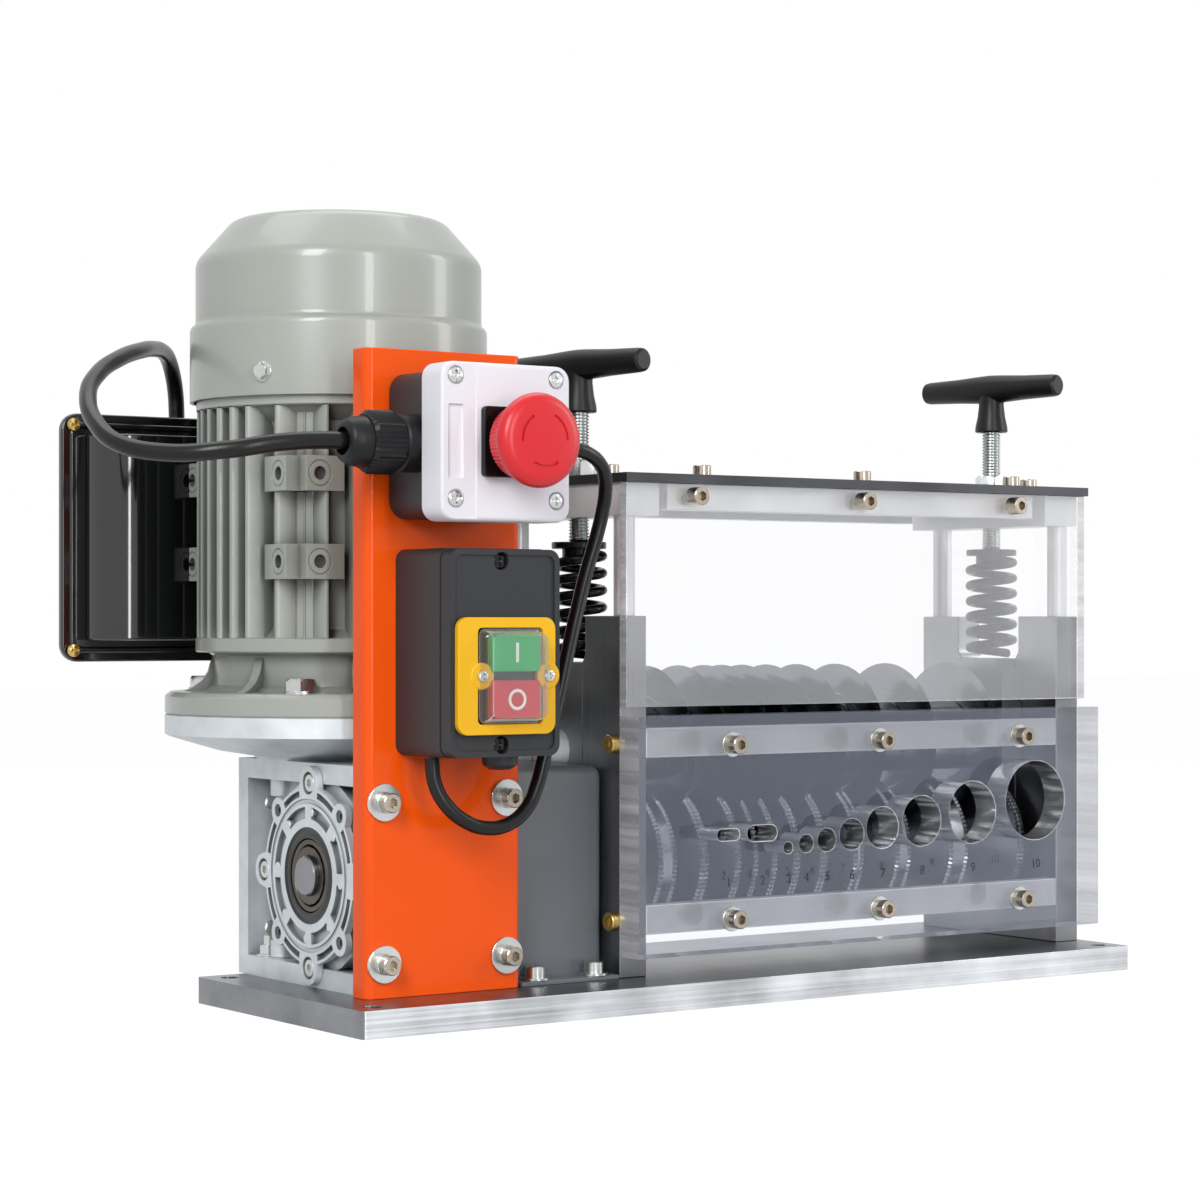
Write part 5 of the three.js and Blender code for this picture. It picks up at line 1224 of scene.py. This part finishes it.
def press_spring(x, first, last):
    """Some turns of a wire that climbs as it winds about the screw's axis"""
    middle = spring_radius - wire / 2
    climb = (spring_high - spring_low - wire) / (spring_turns * turn_steps)
    foot = spring_low + wire / 2 + first * turn_steps * climb
    bm = bmesh.new()
    bmesh.ops.create_circle(bm, segments=12, radius=wire / 2, cap_ends=True)
    moved(bm, Matrix.Translation((x + middle, shaft_y, foot))
          @ Matrix.Rotation(math.pi / 2, 4, "X"))
    bmesh.ops.spin(bm, geom=list(bm.verts) + list(bm.edges) + list(bm.faces),
                   cent=(x, shaft_y, 0), axis=UP, dvec=(0, 0, climb),
                   angle=(last - first) * math.tau, steps=(last - first) * turn_steps)
    bmesh.ops.remove_doubles(bm, verts=bm.verts, dist=0.001)
    return bm


for side, x in press_x.items():
    lower = finish_piece(press_spring(x, 0, still_turn), side + "_spring_lower", black_oxide,
                         side + "_spring", body=None, sharp=60)
    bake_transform(lower)
    upper = finish_piece(press_spring(x, still_turn, spring_turns), side + "_spring_upper",
                         black_oxide, side + "_spring", body=None, sharp=60)
    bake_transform(upper)


# Press screws: M10 zinc-plated screws with a lock nut on the top plate, a black collar on
# the spring, and a moulded nylon T-handle
def thread_profile(radius, low, high, pitch):
    """The zigzag of a screw thread between two heights, closed at both ends"""
    root = radius - 0.6 * pitch
    zigzag = [(0, low), (root, low)]
    for k in range(int((high - low) / pitch)):
        zigzag += [(root, low + k * pitch), (radius, low + (k + 0.5) * pitch)]
    return zigzag + [(root, high), (0, high)]


# Nylon: near black, a little shinier than the glands
handle_nylon = moulded("handle_nylon", "black_plastic", "131415", 0.36, 1.4, 0.05,
                       specular=0.25)
collar_z, screw_foot, screw_top, pitch = 209.5, 213, 284, 1.5
top_plate_face = 243.3
hub_foot, bar_z, bar_half = 274, 296.5, 43
handle_turn = math.radians(-80)
bar_direction = (math.cos(handle_turn), math.sin(handle_turn), 0)
half_bar = [(7.2, 6), (6.3, bar_half / 2), (5.75, bar_half - 3), (5.4, bar_half - 1),
            (4.2, bar_half), (0, bar_half)]
for side, x in press_x.items():
    body = side + "_press"
    axis_foot, nut_seat = (x, shaft_y, 0), (x, shaft_y, top_plate_face)
    finish_piece(turn([(0, 203.5), (7.5, 203.5), (8, 204), (8, collar_z), (12.6, collar_z),
                       (13, collar_z + 0.4), (13, collar_z + 2.8), (12.6, collar_z + 3.2),
                       (0, collar_z + 3.2)], axis_foot, UP),
                 side + "_collar_turned", black_oxide, side + "_press_collar",
                 body=side + "_collar")
    finish_piece(turn(thread_profile(5, screw_foot, screw_top, pitch), axis_foot, UP, 32),
                 side + "_screw_cut", zinc_plate, side + "_screw", body=body, sharp=50)
    nut = turn([(5.6, 0), (8.6, 0), (8.6, 6.8), (7.2, 7.8), (5.6, 7.8), (5.6, 0)],
               nut_seat, UP)
    shape_rings(nut, nut_seat, UP, 8.2, 9, hexagon(7.5))
    finish_piece(nut, side + "_lock_nut", zinc_plate)
    hub = turn([(5.6, hub_foot), (8, hub_foot), (8.5, hub_foot + 0.6),
                (8.3, hub_foot + 3), (7.2, hub_foot + 8), (6.5, hub_foot + 14),
                (6.6, hub_foot + 19), (7.2, hub_foot + 24), (0, hub_foot + 24),
                (0, screw_top + 0.5), (5.6, screw_top + 0.5), (5.6, hub_foot)],
               axis_foot, UP)
    bar = turn([(radius, -rise) for radius, rise in half_bar[::-1]] + [(7.4, 0)] + half_bar,
               (x, shaft_y, bar_z), bar_direction)
    finish_piece([hub, bar], side + "_handle_moulded", handle_nylon, side + "_handle",
                 body=body, sharp=35)


# Head frame: bridges across the side plates on turned pillars, a steel top plate, and
# brushed bars that carry the guards
# Brushed aluminium: nearly white with faint streaks. The top plate's steel is painted dark, as
# shade
brushed_bar = ground_metal("brushed_aluminium", "brushed_aluminium", "FCFCFD", 0.34, 0, 0.7,
                           metallic=0.2, streak=0.14)
shaded_ground_steel = ground_metal("ground_steel_painted_shade", "steel", "4E4F52", 0.34, 0, 0.6, streak=0.3)
dress_copy("top_plate", "_ground", shaded_ground_steel, edge=0.4)
for bar_name in ("left_bridge", "right_bridge", "front_guard_bar", "rear_guard_bar",
                 "lower_tie_bar", "upper_tie_bar"):
    dress_copy(bar_name, "_milled", brushed_bar, edge=0.4)


# Guards: cast acrylic sheets with polished edges, the thin one over the blades and the
# thick one with a guide hole for each cable size
def clear_acrylic(name, mirror_low, mirror_high, dark, light, band_mm, metallic=1.0):
    """Cast acrylic, flame polished: clear, but both faces mirror the bright studio, more so
    where they are seen at a glance. The mirrored tone is a painted reflection in level bands"""
    material, tree, coordinates = start_material(name, "acrylic")
    stretch = [1 / (400 * MM), 1 / (400 * MM), 1 / (band_mm * MM)]
    levels = add_node(tree, "Mapping", {"Scale": stretch}, Vector=coordinates)
    reflection_bands = add_node(tree, "TexNoise", {"Scale": 1.0, "Detail": 3.0},
                     Vector=levels.outputs[0])
    spread = add_node(tree, "MapRange", {"From Min": 0.3, "From Max": 0.7},
                      Value=reflection_bands.outputs["Fac"])
    tint = add_node(tree, "Mix", {"data_type": "RGBA"})
    tint.inputs[6].default_value = linear(dark)
    tint.inputs[7].default_value = linear(light)
    tree.links.new(spread.outputs[0], tint.inputs[0])
    facing = add_node(tree, "LayerWeight", {"Blend": 0.25})
    cover = add_node(tree, "MapRange", {"To Min": mirror_low, "To Max": mirror_high},
                     Value=facing.outputs["Fresnel"])
    shader = add_node(tree, "BsdfPrincipled", {"Metallic": metallic, "Roughness": 0.03},
                      Base_Color=tint.outputs[2], Alpha=cover.outputs[0])
    add_node(tree, "OutputMaterial", Surface=shader.outputs[0])
    return material


def polished_guard(bm, node, face_finish, edge=0.0):
    """A guard whose narrow faces, which don't face front or back, have the edge finish"""
    bmesh.ops.recalc_face_normals(bm, faces=bm.faces)
    for face in bm.faces:
        face.material_index = 0 if abs(face.normal.y) > 0.5 else 1
    finish_piece(bm, node + "_polished", [face_finish, acrylic_edge], node, edge=edge)


# Acrylic: the thin sheet is nearly clear, the thick one is faintly blue, and the
# edges are bright, with painted reflections in narrow level bands
thin_face = clear_acrylic("clear_acrylic_thin", 0.15, 0.7, "F0F3FC", "FFFFFF", 200)
thick_face = clear_acrylic("clear_acrylic_thick", 0.08, 0.6, "C6D0E8", "E4EAFC", 60)
acrylic_edge = clear_acrylic("acrylic_edge", 0.5, 0.9, "8A9098", "FFFFFF", 5, 0.3)
guard_left, guard_right, guard_back = 155, 442, 33
thin_front, thick_front = 28, 18
polished_guard(block((guard_left, thin_front, 136), (guard_right, guard_back, 239)),
               "upper_guard", thin_face, edge=0.3)
guide_floor, guide_slot_z = 66, 76.5
slots = list(zip(channel_places, [(13.5, 6), (18, 8)]))
bores = list(zip(channel_places[2:], [6, 9, 11.5, 15.5, 20.5, 25, 31, 40]))


def slot_block(middle, wide, high, front, back, corner=0.48, inset=0.0):
    """The space of a cable slot between two depths; corner is a share of its height"""
    half_wide, half_high = wide / 2 - inset, high / 2 - inset
    return block((middle - half_wide, front, guide_slot_z - half_high),
                 (middle + half_wide, back, guide_slot_z + half_high), high * corner, 1, 8)


guide_tools = [slot_block(middle, wide, high, 10, 40) for middle, (wide, high) in slots]
guide_tools += [rod(size / 2, 10, 40, (middle, 0, guide_floor + size / 2), BACK, 64)
                for middle, size in bores]
lower_guard = block((guard_left, thick_front, 22), (guard_right, guard_back, 132))
polished_guard(carve(lower_guard, *guide_tools), "lower_guard", thick_face)


# Guide bore walls: the polished bores mirror the steel behind them, so each is drawn as a
# thin bright liner just inside its hole
bright_bore = ground_metal("bright_bore", "blade_steel", "EEF0F3", 0.1, 1, 1.5,
                           metallic=0.85, streak=0.7)
liner_wall, liner_front, liner_back = 0.25, 18.4, 32.8
liners = [ring(size / 2 - liner_wall, size / 2, liner_front, liner_back,
               (middle, 0, guide_floor + size / 2), BACK, 64) for middle, size in bores]
for middle, (wide, high) in slots:
    liners.append(carve(slot_block(middle, wide, high, liner_front, liner_back),
                        slot_block(middle, wide, high, 17, 34, 0.45, liner_wall)))
finish_piece(liners, "guide_bore_walls", bright_bore)


# Guard and top plate screws: stainless cap screws with a brassy sheen, in rows on the
# guards' bars and along the top plate's front edge
screw_radius, socket_width, guard_washer = 4.3, 4.2, 1
guard_screws = [socket_screw((x, thin_front, 233), FRONT, screw_radius, 7.5, socket_width)
                for x in (193, 294, 392)]
guard_washers = []
for x in (208, 297, 387.5):
    for z in (37.6, 118.3):
        guard_washers.append(washer((x, thick_front, z), FRONT, 5.8, 2.6, guard_washer))
        guard_screws.append(socket_screw((x, thick_front - guard_washer, z), FRONT,
                                         screw_radius, 6.5, socket_width))
finish_piece(guard_screws, "guard_screws", nickel_steel)
finish_piece(guard_washers, "guard_washers", zinc_plate)
plate_screw_places = [(x, y) for x in (205.7, 303.2, 400.7) for y in (38, 130)]
plate_screw_places += [(x, y) for x in (166.5, 430.5) for y in (57, 111)]
finish_piece([socket_screw((x, y, top_plate_face), UP, screw_radius, 5, socket_width)
              for x, y in plate_screw_places], "top_plate_screws", nickel_steel)
finish_piece([socket_screw((guard_left, 37.5, z), LEFT, 4.4, 3.6, 4) for z in (37.8, 119)],
             "side_plate_screws", brassy_zinc)


# Guide numbers: plain figures from 1 to 10 in dark ink on the front of the thick guard, one
# under each cable hole
# Ink: near black and matt
printing_ink = moulded("printing_ink", "black_plastic", "17181A", 0.5, 1.0, 0.01)
figure_height, figure_z, ink_face = 6.2, 52.5, 17.9
marks = bmesh.new()
for number, middle in enumerate(channel_places, 1):
    figures = bpy.data.curves.new("mark", "FONT")
    figures.body = str(number)
    figures.size = figure_height
    figures.align_x = "CENTER"
    figures.extrude = 0.05
    holder = bpy.data.objects.new("mark", figures)
    bpy.context.scene.collection.objects.link(holder)
    graph = bpy.context.evaluated_depsgraph_get()
    outline = bpy.data.meshes.new_from_object(holder.evaluated_get(graph))
    outline.transform(Matrix.Translation((middle, ink_face, figure_z))
                      @ Matrix.Rotation(math.pi / 2, 4, "X"))
    marks.from_mesh(outline)
    bpy.data.objects.remove(holder)
    bpy.data.meshes.remove(outline)
finish_piece(marks, "guide_numbers", printing_ink)
